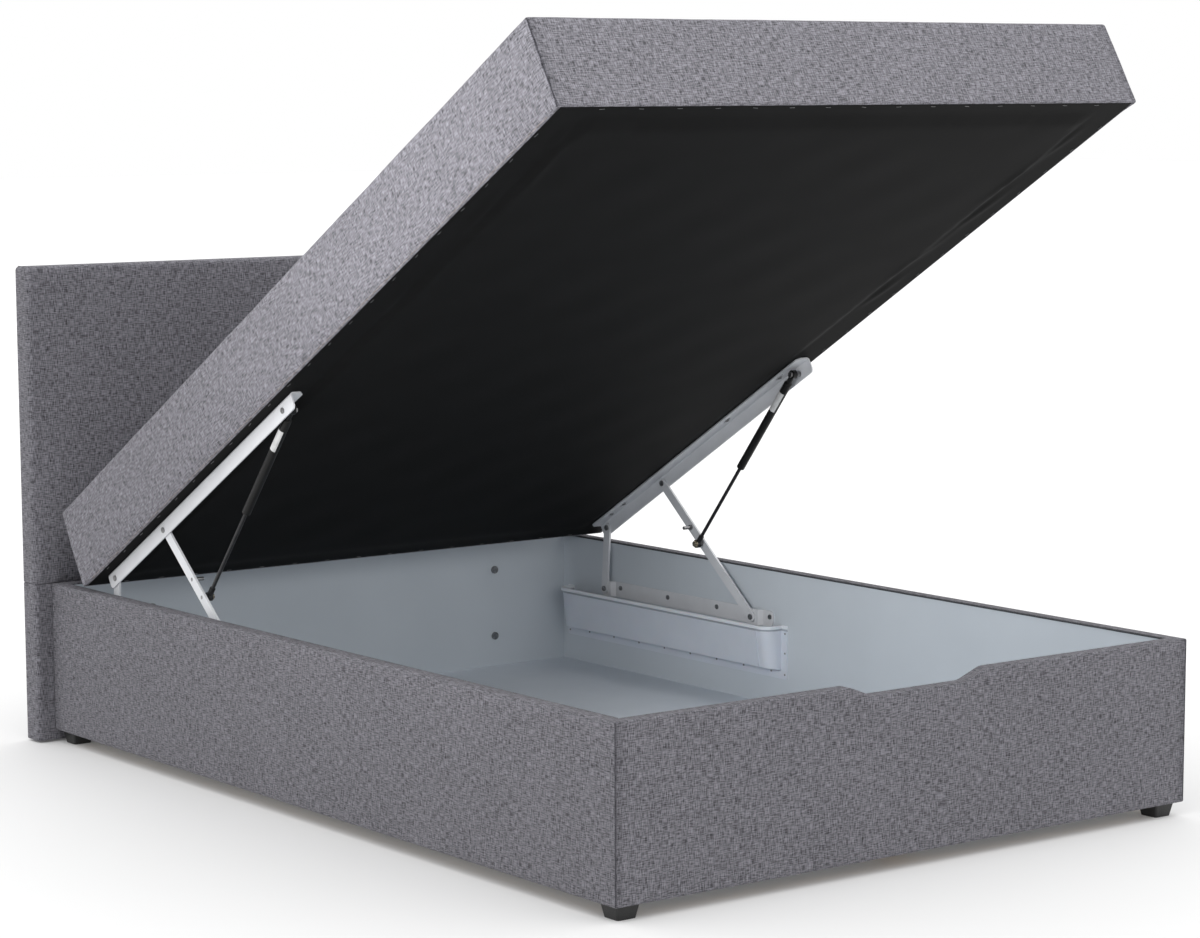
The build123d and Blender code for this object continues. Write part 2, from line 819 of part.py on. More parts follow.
# Short arms, with the pin of the lower pivot fast in the arm
for side_name, side in sides.items():
    arm_plane = link_side(side, arm_inner, arm_outer, short_pivot, short_heading)
    with BuildPart() as short_arm:
        with BuildSketch(arm_plane):
            with Locations((short_arm_length / 2, 0)):
                SlotCenterToCenter(short_arm_length, arm_width)
            Circle(pin_radius, mode=Mode.SUBTRACT)
            with Locations((short_arm_length, 0)):
                Circle(running_radius, mode=Mode.SUBTRACT)
        extrude(amount=arm_thickness)
    short_arm.part.label = f"short_arm_{side_name}"
    export_step(short_arm.part, f"parts/short_arm_{side_name}.step")

pin_face = ear_inner - washer_play
for side_name, side in sides.items():
    with BuildPart() as short_arm_pin:
        head_plane = box_side(side, arm_inner - rivet_head, arm_inner)
        disc(head_plane, short_pivot, rivet_head_radius, rivet_head)
        shank_plane = box_side(side, arm_inner, pin_face)
        disc(shank_plane, short_pivot, pin_radius, pin_face - arm_inner)
    short_arm_pin.part.label = f"short_arm_pin_{side_name}"
    export_step(short_arm_pin.part, f"parts/short_arm_pin_{side_name}.step")

# Rails: steel angles under the platform, with slots for the screws
rail_pivots = (short_arm_along, long_arm_along, gas_spring_along)
flange_inner = ear_outer - rail_flange
slot_x = (flange_inner + ear_inner) / 2
for side_name, side in sides.items():
    with BuildPart() as rail:
        with BuildSketch(rail_section(rail_start)) as angle:
            with BuildLine():
                Polyline(
                    (side * ear_outer, 0),
                    (side * ear_outer, -rail_drop),
                    (side * ear_inner, -rail_drop),
                    (side * ear_inner, -steel),
                    (side * flange_inner, -steel),
                    (side * flange_inner, 0),
                    close=True,
                )
            make_face()
            fillet(angle.vertices().sort_by_distance((side * ear_outer, 0))[0], rail_bend)
            fillet(
                angle.vertices().sort_by_distance((side * ear_inner, -steel))[0],
                rail_bend - steel,
            )
        extrude(amount=rail_length)
        flange_ends = rail.edges().filter_by(Axis((0, 0, 0), up_way))
        inboard_ends = flange_ends.group_by(lambda edge: round(side * edge.center().X, 3))[0]
        chamfer(inboard_ends, rail_end_cut)
        drop_ends = rail.edges().filter_by(Axis.X)
        lower_ends = drop_ends.group_by(Axis((0, corner[0], corner[1]), up_way))[0]
        fillet(lower_ends, rail_end_cut)
        with BuildSketch(platform_side(side, ear_inner, ear_outer)):
            for along in rail_pivots:
                with Locations((along, pivot_drop)):
                    Circle(pin_radius)
        extrude(amount=steel, mode=Mode.SUBTRACT)
        with BuildSketch(level(-steel)):
            with Locations(*[(-side * slot_x, along) for along in rail_slot_places]):
                SlotOverall(slot_length, slot_width, rotation=90)
        extrude(amount=steel, mode=Mode.SUBTRACT)
    rail.part.label = f"rail_{side_name}"
    export_step(rail.part, f"parts/rail_{side_name}.step")

# Upper pivots: a rivet through each arm, and the gas spring's stud with its spacer and nut
for side_name, side in sides.items():
    with BuildPart() as rail_pins:
        for along in rail_pivots:
            tail = platform_side(side, ear_outer, ear_outer + rivet_tail)
            disc(tail, (along, pivot_drop), rivet_tail_radius, rivet_tail)
        for along in (short_arm_along, long_arm_along):
            shank = platform_side(side, head_face, ear_outer)
            disc(shank, (along, pivot_drop), pin_radius, ear_outer - head_face)
            head = platform_side(side, head_face - rivet_head, head_face)
            disc(head, (along, pivot_drop), rivet_head_radius, rivet_head)
        spacer_end = eye_outer + washer_play
        nut_end = eye_inner - washer_play
        stud = platform_side(side, nut_end, ear_outer)
        disc(stud, (gas_spring_along, pivot_drop), pin_radius, ear_outer - nut_end)
        spacer = platform_side(side, spacer_end, ear_inner)
        disc(spacer, (gas_spring_along, pivot_drop), collar_radius, ear_inner - spacer_end)
        nut = platform_side(side, nut_end - nut_height, nut_end)
        hexagon(nut, (gas_spring_along, pivot_drop), nut_radius, nut_height)
    rail_pins.part.label = f"rail_pins_{side_name}"
    export_step(rail_pins.part, f"parts/rail_pins_{side_name}.step")

# Platform layers, from the underside up
hem_top = dust_cloth_thickness + hem_thickness
batten_top = hem_top + batten_thickness
frame_board_top = batten_top + frame_board_height
slat_top = batten_top + slat_thickness
cover_inside_top = platform_thickness - cover_thickness
foam_bottom = cover_inside_top - foam_thickness
felt_bottom = foam_bottom - felt_thickness
inside_x = half_width - cover_thickness
inside_foot = platform_length - cover_thickness
# Dust cloth across the whole underside
with BuildPart() as dust_cloth:
    block(
        (-half_width + dust_cloth_inset, half_width - dust_cloth_inset),
        (dust_cloth_inset, platform_length - dust_cloth_inset),
        (0, dust_cloth_thickness),
        level(0),
    )
dust_cloth.part.label = "dust_cloth"
export_step(dust_cloth.part, "parts/dust_cloth.step")

# Padded cover: crowned top, soft corners, and a hem turned under the frame
with BuildPart() as platform_cover:
    with BuildSketch(rail_section(0)):
        with BuildLine():
            Polyline(
                (-half_width, platform_thickness),
                (-half_width, 0),
                (half_width, 0),
                (half_width, platform_thickness),
            )
            ThreePointArc(
                (half_width, platform_thickness),
                (0, platform_thickness + platform_crown),
                (-half_width, platform_thickness),
            )
        make_face()
    extrude(amount=platform_length)
    up_edges = platform_cover.edges().filter_by(Axis((0, 0, 0), up_way))
    fillet(up_edges, platform_radius)
    top_face = platform_cover.faces().sort_by(Axis((0, corner[0], corner[1]), up_way))[-1]
    fillet(top_face.edges(), cover_thickness)
    block(
        (-inside_x, inside_x),
        (cover_thickness, inside_foot),
        (hem_top, cover_inside_top),
        level(0),
        Mode.SUBTRACT,
    )
    block(
        (-half_width + hem_width, half_width - hem_width),
        (hem_width, platform_length - hem_width),
        (0, hem_top),
        level(0),
        Mode.SUBTRACT,
    )
    block(
        (-half_width + dust_cloth_inset, half_width - dust_cloth_inset),
        (dust_cloth_inset, platform_length - dust_cloth_inset),
        (0, dust_cloth_thickness),
        level(0),
        Mode.SUBTRACT,
    )
platform_cover.part.label = "platform_cover"
export_step(platform_cover.part, "parts/platform_cover.step")

# Flat battens round the underside of the frame
with BuildPart() as frame_battens:
    for side in sides.values():
        block(
            signed(side, inside_x - batten_width, inside_x),
            (cover_thickness, inside_foot),
            (hem_top, batten_top),
            level(0),
        )
    for start in (cover_thickness, inside_foot - batten_width):
        block(
            (-inside_x + batten_width, inside_x - batten_width),
            (start, start + batten_width),
            (hem_top, batten_top),
            level(0),
        )
frame_battens.part.label = "frame_battens"
export_step(frame_battens.part, "parts/frame_battens.step")

# Upright boards of the frame
with BuildPart() as frame_boards:
    for side in sides.values():
        block(
            signed(side, inside_x - frame_board_thickness, inside_x),
            (cover_thickness, inside_foot),
            (batten_top, frame_board_top),
            level(0),
        )
    for start in (cover_thickness, inside_foot - frame_board_thickness):
        block(
            (-inside_x + frame_board_thickness, inside_x - frame_board_thickness),
            (start, start + frame_board_thickness),
            (batten_top, frame_board_top),
            level(0),
        )
frame_boards.part.label = "frame_boards"
export_step(frame_boards.part, "parts/frame_boards.step")

# Slats across the battens
slat_half = inside_x - frame_board_thickness
slat_first = cover_thickness + frame_board_thickness
slat_last = inside_foot - frame_board_thickness - slat_width
with BuildPart() as frame_slats:
    for start in evenly(slat_first, slat_last, slat_count):
        block(
            (-slat_half, slat_half), (start, start + slat_width), (batten_top, slat_top), level(0)
        )
frame_slats.part.label = "frame_slats"
export_step(frame_slats.part, "parts/frame_slats.step")

# Rows of pocketed springs: cloth sleeves along the platform that stand on the slats
row_height = felt_bottom - slat_top
row_first = slat_first + spring_edge_gap
row_length = inside_foot - frame_board_thickness - spring_edge_gap - row_first
row_middle = slat_half - spring_edge_gap - spring_row_width / 2
row_count = 1 + int(2 * row_middle / (spring_row_width + spring_row_gap))
with BuildPart() as spring_rows:
    for across in evenly(-row_middle, row_middle, row_count):
        with BuildSketch(rail_section(row_first)) as row_end:
            with Locations((across, slat_top + row_height / 2)):
                Rectangle(spring_row_width, row_height)
            chamfer(row_end.vertices(), spring_row_chamfer)
            offset(amount=-spring_pocket_wall, kind=Kind.INTERSECTION, mode=Mode.SUBTRACT)
        extrude(amount=row_length)
spring_rows.part.label = "spring_rows"
export_step(spring_rows.part, "parts/spring_rows.step")

# Felt and foam over the springs
with BuildPart() as felt_pad:
    block(
        (-inside_x, inside_x), (cover_thickness, inside_foot), (felt_bottom, foam_bottom), level(0)
    )
felt_pad.part.label = "felt_pad"
export_step(felt_pad.part, "parts/felt_pad.step")

with BuildPart() as foam_pad:
    block(
        (-inside_x, inside_x),
        (cover_thickness, inside_foot),
        (foam_bottom, cover_inside_top),
        level(0),
    )
foam_pad.part.label = "foam_pad"
export_step(foam_pad.part, "parts/foam_pad.step")


def along_spring(side, start):
    """Plane across a gas spring, at a distance from its upper eye, looking down its axis."""
    way = (0, cos(radians(gas_heading)), sin(radians(gas_heading)))
    return Plane(
        origin=(side * spring_middle, gas_joint[0] + start * way[1], gas_joint[1] + start * way[2]),
        x_dir=(1, 0, 0),
        z_dir=way,
    )


# Gas springs: a cylinder that hangs from the rail, with a guide for the rod in its lower end
neck_start = nut_radius + arm_play
cylinder_start = eye_radius + neck_length
cylinder_end = cylinder_start + cylinder_length
for side_name, side in sides.items():
    with BuildPart() as gas_cylinder:
        disc(along_spring(side, cylinder_start), (0, 0), cylinder_radius, cylinder_length)
        chamfer(gas_cylinder.edges().filter_by(GeomType.CIRCLE), cylinder_shoulder)
        disc(
            along_spring(side, neck_start), (0, 0), neck_radius, cylinder_start - neck_start
        )
        eye_plane = link_side(side, eye_inner, eye_outer, gas_joint, gas_heading)
        disc(eye_plane, (0, 0), eye_radius, eye_thickness)
        disc(eye_plane, (0, 0), running_radius, eye_thickness, Mode.SUBTRACT)
        disc(
            along_spring(side, cylinder_start + cylinder_end_wall),
            (0, 0),
            cylinder_bore,
            cylinder_length - cylinder_end_wall - guide_length,
            Mode.SUBTRACT,
        )
        disc(
            along_spring(side, cylinder_end - guide_length),
            (0, 0),
            rod_radius + running_play,
            guide_length,
            Mode.SUBTRACT,
        )
    gas_cylinder.part.label = f"gas_cylinder_{side_name}"
    export_step(gas_cylinder.part, f"parts/gas_cylinder_{side_name}.step")

# Rods with their pistons, and at the lower end an eye, its pin and a nut
rod_start = cylinder_end - guide_length - piston_stop - piston_length
rod_end = gas_length - eye_radius - neck_length
for side_name, side in sides.items():
    with BuildPart() as gas_rod:
        disc(along_spring(side, rod_start), (0, 0), piston_radius, piston_length)
        disc(along_spring(side, rod_start), (0, 0), rod_radius, rod_end - rod_start)
        disc(
            along_spring(side, rod_end), (0, 0), neck_radius, gas_length - neck_start - rod_end
        )
        eye_plane = link_side(side, eye_inner, eye_outer, gas_stud, gas_heading)
        disc(eye_plane, (0, 0), eye_radius, eye_thickness)
        pin_end = stud_end - washer_play
        pin_plane = link_side(side, eye_outer, pin_end, gas_stud, gas_heading)
        disc(pin_plane, (0, 0), pin_radius, pin_end - eye_outer)
        nut_plane = link_side(side, eye_inner - nut_height, eye_inner, gas_stud, gas_heading)
        hexagon(nut_plane, (0, 0), nut_radius, nut_height)
    gas_rod.part.label = f"gas_rod_{side_name}"
    export_step(gas_rod.part, f"parts/gas_rod_{side_name}.step")

# The joint values of the closed pose, for each part of the linkage
closed_short_joint = platform_point(closed_corner, 0, short_arm_along, -pivot_drop)
closed_long_joint = platform_point(closed_corner, 0, long_arm_along, -pivot_drop)
closed_gas_joint = platform_point(closed_corner, 0, gas_spring_along, -pivot_drop)
closed_long_heading = heading(long_pivot, closed_long_joint)
closed_gas_stud = (
    long_pivot[0] + gas_stud_reach * cos(radians(closed_long_heading)),
    long_pivot[1] + gas_stud_reach * sin(radians(closed_long_heading)),
)
long_turn = closed_long_heading - long_heading
fold_turn = platform_tilt - long_turn
short_turn = heading(short_pivot, closed_short_joint) - short_heading - platform_tilt
gas_turn = heading(closed_gas_joint, closed_gas_stud) - gas_heading - platform_tilt
gas_stroke = gas_length - distance(closed_gas_joint, closed_gas_stud)
print(f"long pivot {long_pivot}, platform pivot {long_joint}, short arm pivot {short_joint}")
print(f"gas spring pivot {gas_joint}, length {gas_length:.3f}, heading {gas_heading:.5f}")
print(f"turns to close: long arm {long_turn:.5f}, platform {fold_turn:.5f}")
print(f"short arm {short_turn:.5f}, gas spring {gas_turn:.5f}, stroke {gas_stroke:.4f}")
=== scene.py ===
import json
from contextlib import contextmanager
from math import exp, pi, radians, sin

import bmesh
import bpy
from bpy.props import FloatProperty, FloatVectorProperty, IntProperty, PointerProperty
from mathutils import Euler, Matrix, Vector


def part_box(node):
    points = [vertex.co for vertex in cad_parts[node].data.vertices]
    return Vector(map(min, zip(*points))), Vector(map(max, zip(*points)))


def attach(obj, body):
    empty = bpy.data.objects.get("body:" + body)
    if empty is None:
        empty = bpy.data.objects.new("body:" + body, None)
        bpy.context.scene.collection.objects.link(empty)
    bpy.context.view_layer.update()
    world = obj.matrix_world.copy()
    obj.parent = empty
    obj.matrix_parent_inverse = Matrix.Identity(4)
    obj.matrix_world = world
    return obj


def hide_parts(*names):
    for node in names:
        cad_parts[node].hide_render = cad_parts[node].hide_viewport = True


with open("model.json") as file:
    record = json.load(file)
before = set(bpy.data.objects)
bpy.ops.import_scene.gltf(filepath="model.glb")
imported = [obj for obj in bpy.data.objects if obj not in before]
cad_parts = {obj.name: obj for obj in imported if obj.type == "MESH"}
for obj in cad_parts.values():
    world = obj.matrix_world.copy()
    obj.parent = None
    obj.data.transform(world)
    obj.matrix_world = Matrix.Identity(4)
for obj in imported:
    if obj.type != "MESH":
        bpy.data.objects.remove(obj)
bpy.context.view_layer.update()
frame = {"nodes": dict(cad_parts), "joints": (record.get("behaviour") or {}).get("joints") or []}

bl_info = {
    "name": "Storage Bed",
    "version": (1, 0, 0),
    "blender": (4, 5, 0),
    "location": "View3D > Sidebar > Bed",
    "description": "Sewn covers, dust cloth, small fasteners and finishes of a storage bed",
    "category": "Object",
}

SIDES = {"left": -1, "right": 1}


# Places taken from the frame

def joint(name):
    return next(each for each in frame["joints"] if each["name"] == name)


def pivot(name):
    """Where a joint of the lift hardware turns, in the middle of the bed."""
    return Vector(joint(name)["pos_m"])


def reach(node, way):
    """How far a node reaches along a direction, lowest and highest."""
    places = [way.dot(vertex.co) for vertex in frame["nodes"][node].data.vertices]
    return min(places), max(places)


# The upper eyes of the gas springs, and the direction from them down to the lower ones
GAS_EYE = pivot("gas_cylinder_left_swing")
SPRING_DOWN = -Vector(joint("gas_rod_left_stroke")["axis"])

# Directions of the raised platform: along it from its head end, and up from its underside
ALONG = (GAS_EYE - pivot("short_arm_left_swing")).normalized()
UP = Vector((0, ALONG.z, -ALONG.y))
ACROSS = ALONG.cross(UP)
HEAD_END, FOOT_END = reach("platform_cover", ALONG)
UNDERSIDE, TOP_SIDE = reach("platform_cover", UP)
PLATFORM_CORNER = ALONG * HEAD_END + UP * UNDERSIDE
PLATFORM = Matrix.Translation(PLATFORM_CORNER) @ Matrix((ACROSS, ALONG, UP)).transposed().to_4x4()
PLATFORM_LENGTH = FOOT_END - HEAD_END
PLATFORM_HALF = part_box("platform_cover")[1].x

# The box: its height, its walls' outer faces and how thick they are
BOX_BOTTOM, RIM = (corner.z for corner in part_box("side_cover_left"))
BOX_FRONT, BOX_BACK = (corner.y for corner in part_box("side_cover_left"))
BOX_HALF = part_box("side_cover_right")[1].x
INSIDE_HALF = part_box("side_board_right")[0].x
WALL_DEPTH = BOX_HALF - INSIDE_HALF

# Nearer to a surface than this, a point of a cover lies on it
TOUCH = 0.0005

# Rows of points beside a sewn corner, and how far apart they are elsewhere on a cover
SEAM_ROWS = [0.0015, 0.003, 0.006, 0.010, 0.014, 0.018, 0.023, 0.034, 0.052]
ROW_PITCH = 0.045


# Sizes and colours that a user would change

def metres(name, description, default):
    return FloatProperty(name=name, description=description, default=default, unit="LENGTH")


def number(name, description, default):
    return FloatProperty(name=name, description=description, default=default)


def yarn(name, description, default):
    return FloatVectorProperty(
        name=name, description=description, default=default, subtype="COLOR", size=4
    )


class BedUpholstery(bpy.types.PropertyGroup):
    """The sewn covers of the box, the platform and the headboard."""

    cloth: metres("Cover thickness", "Cloth with its wadding", 0.0018)
    crown: metres("Platform crown", "Rise of the platform's top", 0.006)
    corner: metres("Platform corner", "Roundness of its upright corners", 0.0065)
    top_roll: metres("Platform top edge", "Roundness of its top edge", 0.0055)
    bottom_roll: metres("Platform bottom edge", "Roundness of its lower edge", 0.004)
    side_tuck: metres("Side tuck", "How far the long sides draw in at their lower edge", 0.006)
    hem: metres("Hem", "Cloth turned under the platform", 0.044)
    seam_dip: metres("Seam dip", "How deep a corner seam draws the cloth in", 0.0022)
    seam_run: metres("Seam run", "How far from a seam the cloth is drawn in", 0.011)
    swell: metres("Swell", "Most that the wadding lets a cover stand out", 0.004)
    rim_roll: metres("Rim roundness", "Roundness of the box's top edge", 0.0035)
    headboard_roll: metres("Headboard edge", "Roundness of the headboard's front edges", 0.014)
    cloth_dark: yarn("Dark yarn", "Darker yarn of the weave", (0.040, 0.039, 0.045, 1))
    cloth_light: yarn("Light yarn", "Lighter yarn of the weave", (0.270, 0.264, 0.296, 1))


class BedUnderside(bpy.types.PropertyGroup):
    """The dust cloth under the platform, and its staples."""

    inset: metres("End inset", "From the platform's ends to the cloth's edge", 0.006)
    side_inset: metres("Side inset", "From the platform's long sides to the cloth's edge", 0.011)
    thickness: metres("Thickness", "Thickness of the cloth", 0.0007)
    sag: metres("Sag", "Most that the cloth hangs down", 0.006)
    staple_pitch: metres("Staple pitch", "From staple to staple", 0.085)
    staple_width: metres("Staple width", "Width of a staple's back", 0.011)


class BedHardware(bpy.types.PropertyGroup):
    """Small fasteners and trim of the lift hardware and the box."""

    tack_radius: metres("Tack", "Radius of a tack's head", 0.0024)
    tack_count: IntProperty(
        name="Tacks", description="Tacks along the lower flange of a tray", default=8, min=2
    )
    screw_radius: metres("Rail screw", "Radius of a rail screw's head", 0.0046)
    foot_screw_radius: metres("Foot screw", "Radius of a foot screw's head", 0.0068)
    nut_radius: metres("Nut", "Radius of the nut on a gas spring's lower eye", 0.0068)
    welt_radius: metres("Rim welt", "Radius of the dark welt on the side boards", 0.0019)
    patch_length: metres("Patch length", "Length of the bare patch on a gas spring", 0.054)


class BedStudio(bpy.types.PropertyGroup):
    """The floor, the lights and the camera."""

    camera_place: FloatVectorProperty(
        name="Camera place", description="Where the camera stands", subtype="TRANSLATION",
        default=(-4.01866, -5.39004, 1.40838),
    )
    azimuth: number("Azimuth", "Turn of the view in degrees", -36.67569)
    elevation: number("Elevation", "How far it looks down, in degrees", 7.76715)
    roll: number("Roll", "Tilt of the picture in degrees", -0.2406)
    lens: number("Lens", "Focal length in millimetres", 98.47828)
    shift_x: number("Shift across", "Lens shift", 0.02)
    shift_y: number("Shift up", "Lens shift", 0.06)
    horizon: number("Horizon", "Brightness of the room's walls", 1.0)
    zenith: number("Ceiling", "Brightness of the room's ceiling", 1.8)
    key_power: FloatProperty(
        name="Key light", description="Power of the light on the left", default=4.6, unit="POWER"
    )


# Modelling helpers

def select_none():
    bpy.ops.object.select_all(action="DESELECT")


def focus(piece):
    """Makes one piece the only selected and the active one."""
    select_none()
    piece.select_set(True)
    bpy.context.view_layer.objects.active = piece


@contextmanager
def editing(piece):
    """Edit mode on one piece, with nothing selected at first."""
    focus(piece)
    bpy.ops.object.mode_set(mode="EDIT")
    bpy.ops.mesh.select_all(action="DESELECT")
    yield piece
    bpy.ops.object.mode_set(mode="OBJECT")


def choose(piece, kind, test):
    """Selects the faces, edges or points of the piece being edited that pass a test."""
    bpy.ops.mesh.select_mode(type=kind)
    bpy.ops.mesh.select_all(action="DESELECT")
    mesh = bmesh.from_edit_mesh(piece.data)
    for item in {"FACE": mesh.faces, "EDGE": mesh.edges, "VERT": mesh.verts}[kind]:
        if test(item):
            item.select_set(True)
    bmesh.update_edit_mesh(piece.data)


def bevel(piece, kind, test, offset, segments):
    """Rounds the edges of what passes a test."""
    choose(piece, kind, test)
    bpy.ops.mesh.bevel(offset=offset, segments=segments, affect="EDGES")


def round_rim(piece, test, offset, segments):
    """Rounds only the outline of the faces that pass a test."""
    choose(piece, "FACE", test)
    bpy.ops.mesh.region_to_loop()
    bpy.ops.mesh.bevel(offset=offset, segments=segments, affect="EDGES")


def take_away(piece, test):
    """Deletes the faces that pass a test."""
    choose(piece, "FACE", test)
    bpy.ops.mesh.delete(type="FACE")


def looks_up(face):
    return face.normal.z > 0.9


def looks_down(face):
    return face.normal.z < -0.9


def is_underside(face):
    return face.normal.z < -0.9999


def middle(item):
    """The middle of a face or an edge."""
    if hasattr(item, "calc_center_median"):
        return item.calc_center_median()
    return (item.verts[0].co + item.verts[1].co) / 2


def runs_along(edge, axis):
    """Whether an edge runs along one axis."""
    way = (edge.verts[1].co - edge.verts[0].co).normalized()
    return abs(way[axis]) > 0.999


def near(a, b, slack=1e-4):
    return abs(a - b) < slack


def share_of(part, whole):
    """How far along a run a place is, from 0 to 1."""
    return min(max(part / whole, 0), 1)


def named(name):
    """Names the primitive that was just added, and applies its place."""
    piece = bpy.context.active_object
    piece.name = piece.data.name = name
    bpy.ops.object.transform_apply()
    return piece


def block(name, low, high):
    """A plain block between two corners, the start of a piece."""
    low, high = Vector(low), Vector(high)
    select_none()
    bpy.ops.mesh.primitive_cube_add(size=1, location=(low + high) / 2)
    bpy.context.active_object.scale = high - low
    return named(name)


def bar(name, radius, depth, sides, height=0.0, ends="NGON"):
    """A round or many-sided bar along Z, with its middle at a height, the start of a piece."""
    select_none()
    bpy.ops.mesh.primitive_cylinder_add(
        vertices=sides, radius=radius, depth=depth, location=(0, 0, height), end_fill_type=ends
    )
    return named(name)


def cut(place, normal, clear_outer=False):
    """Cuts the piece being edited along a plane, and may take away what lies beyond it."""
    bpy.ops.mesh.select_all(action="SELECT")
    bpy.ops.mesh.bisect(plane_co=place, plane_no=normal, clear_outer=clear_outer)


def cut_rows(axis, places):
    """Cuts rows across one axis of the piece being edited, so that it can take a soft shape."""
    normal = [0, 0, 0]
    normal[axis] = 1
    for place in places:
        cut([place * share for share in normal], normal)


def even(first, last, pitch):
    """Places from the first to the last, about one pitch apart, without the ends."""
    count = max(1, round((last - first) / pitch))
    return [first + (last - first) * step / count for step in range(1, count)]


def finish_with(piece, kind, **values):
    """Adds a modifier with its values and applies it."""
    focus(piece)
    bpy.ops.object.modifier_add(type=kind)
    modifier = piece.modifiers[-1]
    for key, value in values.items():
        setattr(modifier, key, value)
    bpy.ops.object.modifier_apply(modifier=modifier.name)


def smooth(piece, angle=40):
    """Smooth shading, with sharp edges past an angle."""
    focus(piece)
    bpy.ops.object.shade_smooth_by_angle(angle=radians(angle))


def thicken(piece, thickness, angle):
    """Gives a thin piece its thickness inwards, and smooth shading."""
    finish_with(piece, "SOLIDIFY", thickness=thickness, offset=-1.0)
    smooth(piece, angle)


def place_by(piece, matrix):
    """Moves the mesh of a piece to its place, and leaves its object at the origin."""
    focus(piece)
    piece.matrix_world = matrix
    bpy.ops.object.transform_apply()


def lay_cloth(piece):
    """Lays the weave on a piece in its own square frame, in metres."""
    with editing(piece):
        bpy.ops.mesh.select_all(action="SELECT")
        bpy.ops.uv.cube_project(cube_size=1, correct_aspect=False)


def move_points(piece, shift):
    """Shapes a soft piece: each point moves by what the rule gives for its place."""
    for vertex in piece.data.vertices:
        vertex.co += Vector(shift(vertex.co))
    piece.data.update()


def weigh(piece, name, weight_of):
    """Gives each point of a piece the weight that the rule says, in a new group."""
    group = piece.vertex_groups.new(name=name)
    for vertex in piece.data.vertices:
        group.add([vertex.index], weight_of(vertex), "REPLACE")


def relief(piece, size, strength, weight_of):
    """Gives cloth a faint unevenness, as much at each point as the rule says."""
    weigh(piece, "relief", weight_of)
    clouds = bpy.data.textures.new("relief", "CLOUDS")
    clouds.noise_scale = size
    finish_with(
        piece, "DISPLACE", texture=clouds, texture_coords="LOCAL", strength=strength,
        mid_level=0.5, vertex_group="relief",
    )
    piece.vertex_groups.clear()


def inflate(piece, is_fixed, cap, pressure=3.0, gravity=0.0, slack=0.0, frames=20):
    """Cloth simulation with the hem held; points only move outwards, as far as the cap."""
    before = [vertex.co.copy() for vertex in piece.data.vertices]
    outward = [vertex.normal.copy() for vertex in piece.data.vertices]
    weigh(piece, "held", lambda vertex: float(is_fixed(vertex.co)))
    focus(piece)
    bpy.ops.object.modifier_add(type="CLOTH")
    modifier = piece.modifiers[-1]
    settings = modifier.settings
    settings.quality = 6
    settings.mass = 0.3
    settings.use_pressure = pressure > 0
    settings.uniform_pressure_force = pressure
    settings.effector_weights.gravity = gravity
    settings.vertex_group_mass = "held"
    settings.shrink_min = -slack
    modifier.point_cache.frame_end = frames
    for step in range(1, frames + 1):
        bpy.context.scene.frame_set(step)
    bpy.ops.object.modifier_apply(modifier=modifier.name)
    bpy.context.scene.frame_set(1)
    for vertex, start, way in zip(piece.data.vertices, before, outward):
        rise = way.dot(vertex.co - start)
        vertex.co = start + way * min(max(rise, 0), cap)
    piece.vertex_groups.clear()
    piece.data.update()


def join(pieces, name):
    """Joins pieces into the first one, which gets the name."""
    select_none()
    for piece in pieces:
        piece.select_set(True)
    bpy.context.view_layer.objects.active = pieces[0]
    bpy.ops.object.join()
    pieces[0].name = pieces[0].data.name = name
    return pieces[0]


def copies(first, matrices):
    """One piece made of a modelled one, copied to each place."""
    made = []
    for matrix in matrices:
        copy = first.copy()
        copy.data = first.data.copy()
        bpy.context.collection.objects.link(copy)
        copy.data.transform(matrix)
        made.append(copy)
    name = first.name
    bpy.data.objects.remove(first)
    return join(made, name)


def facing(place, way):
    """A matrix that stands a piece made along Z at a place, facing a direction."""
    return Matrix.Translation(place) @ Vector(way).to_track_quat("Z", "Y").to_matrix().to_4x4()


def round_head(name, radius, height, sides=20):
    """A domed head that stands on the XY plane, facing up."""
    piece = bar(name, radius, height, sides, height / 2)
    with editing(piece):
        bevel(piece, "FACE", looks_up, height * 0.7, 3)
    return piece


def cross_head(name, radius, height):
    """A domed screw head with a cross recess."""
    piece = round_head(name, radius, height)
    arm, width = radius * 0.55, radius * 0.13
    for along, across in ((arm, width), (width, arm)):
        cutter = block("cutter", (-along, -across, height * 0.45), (along, across, height * 1.5))
        finish_with(piece, "BOOLEAN", object=cutter, operation="DIFFERENCE", solver="EXACT")
        bpy.data.objects.remove(cutter)
    return piece


def hex_nut(name, radius, depth, washer):
    """A hexagon nut on its washer, with the end of the stud in it, facing up."""
    nut = bar("hexagon", radius, depth - washer, 6, (depth + washer) / 2)
    with editing(nut):
        bevel(nut, "FACE", looks_up, radius * 0.12, 2)
        choose(nut, "FACE", lambda face: face.normal.z > 0.999)
        bpy.ops.mesh.inset(thickness=radius * 0.25)
        bpy.ops.mesh.inset(thickness=radius * 0.06, depth=-0.0008)
        bpy.ops.mesh.inset(thickness=radius * 0.10, depth=0.0014)
    return join([round_head(name, radius * 1.3, washer, 32), nut], name)


def hand_over(piece, finish, body, *nodes, slot=None):
    """Gives a finished piece its finish and its body, and hides the nodes that it replaces; the
    slot is not used.
    """
    piece.data.materials.clear()
    piece.data.materials.append(FINISHES[finish])
    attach(piece, body)
    if nodes:
        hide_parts(*nodes)


# Finishes

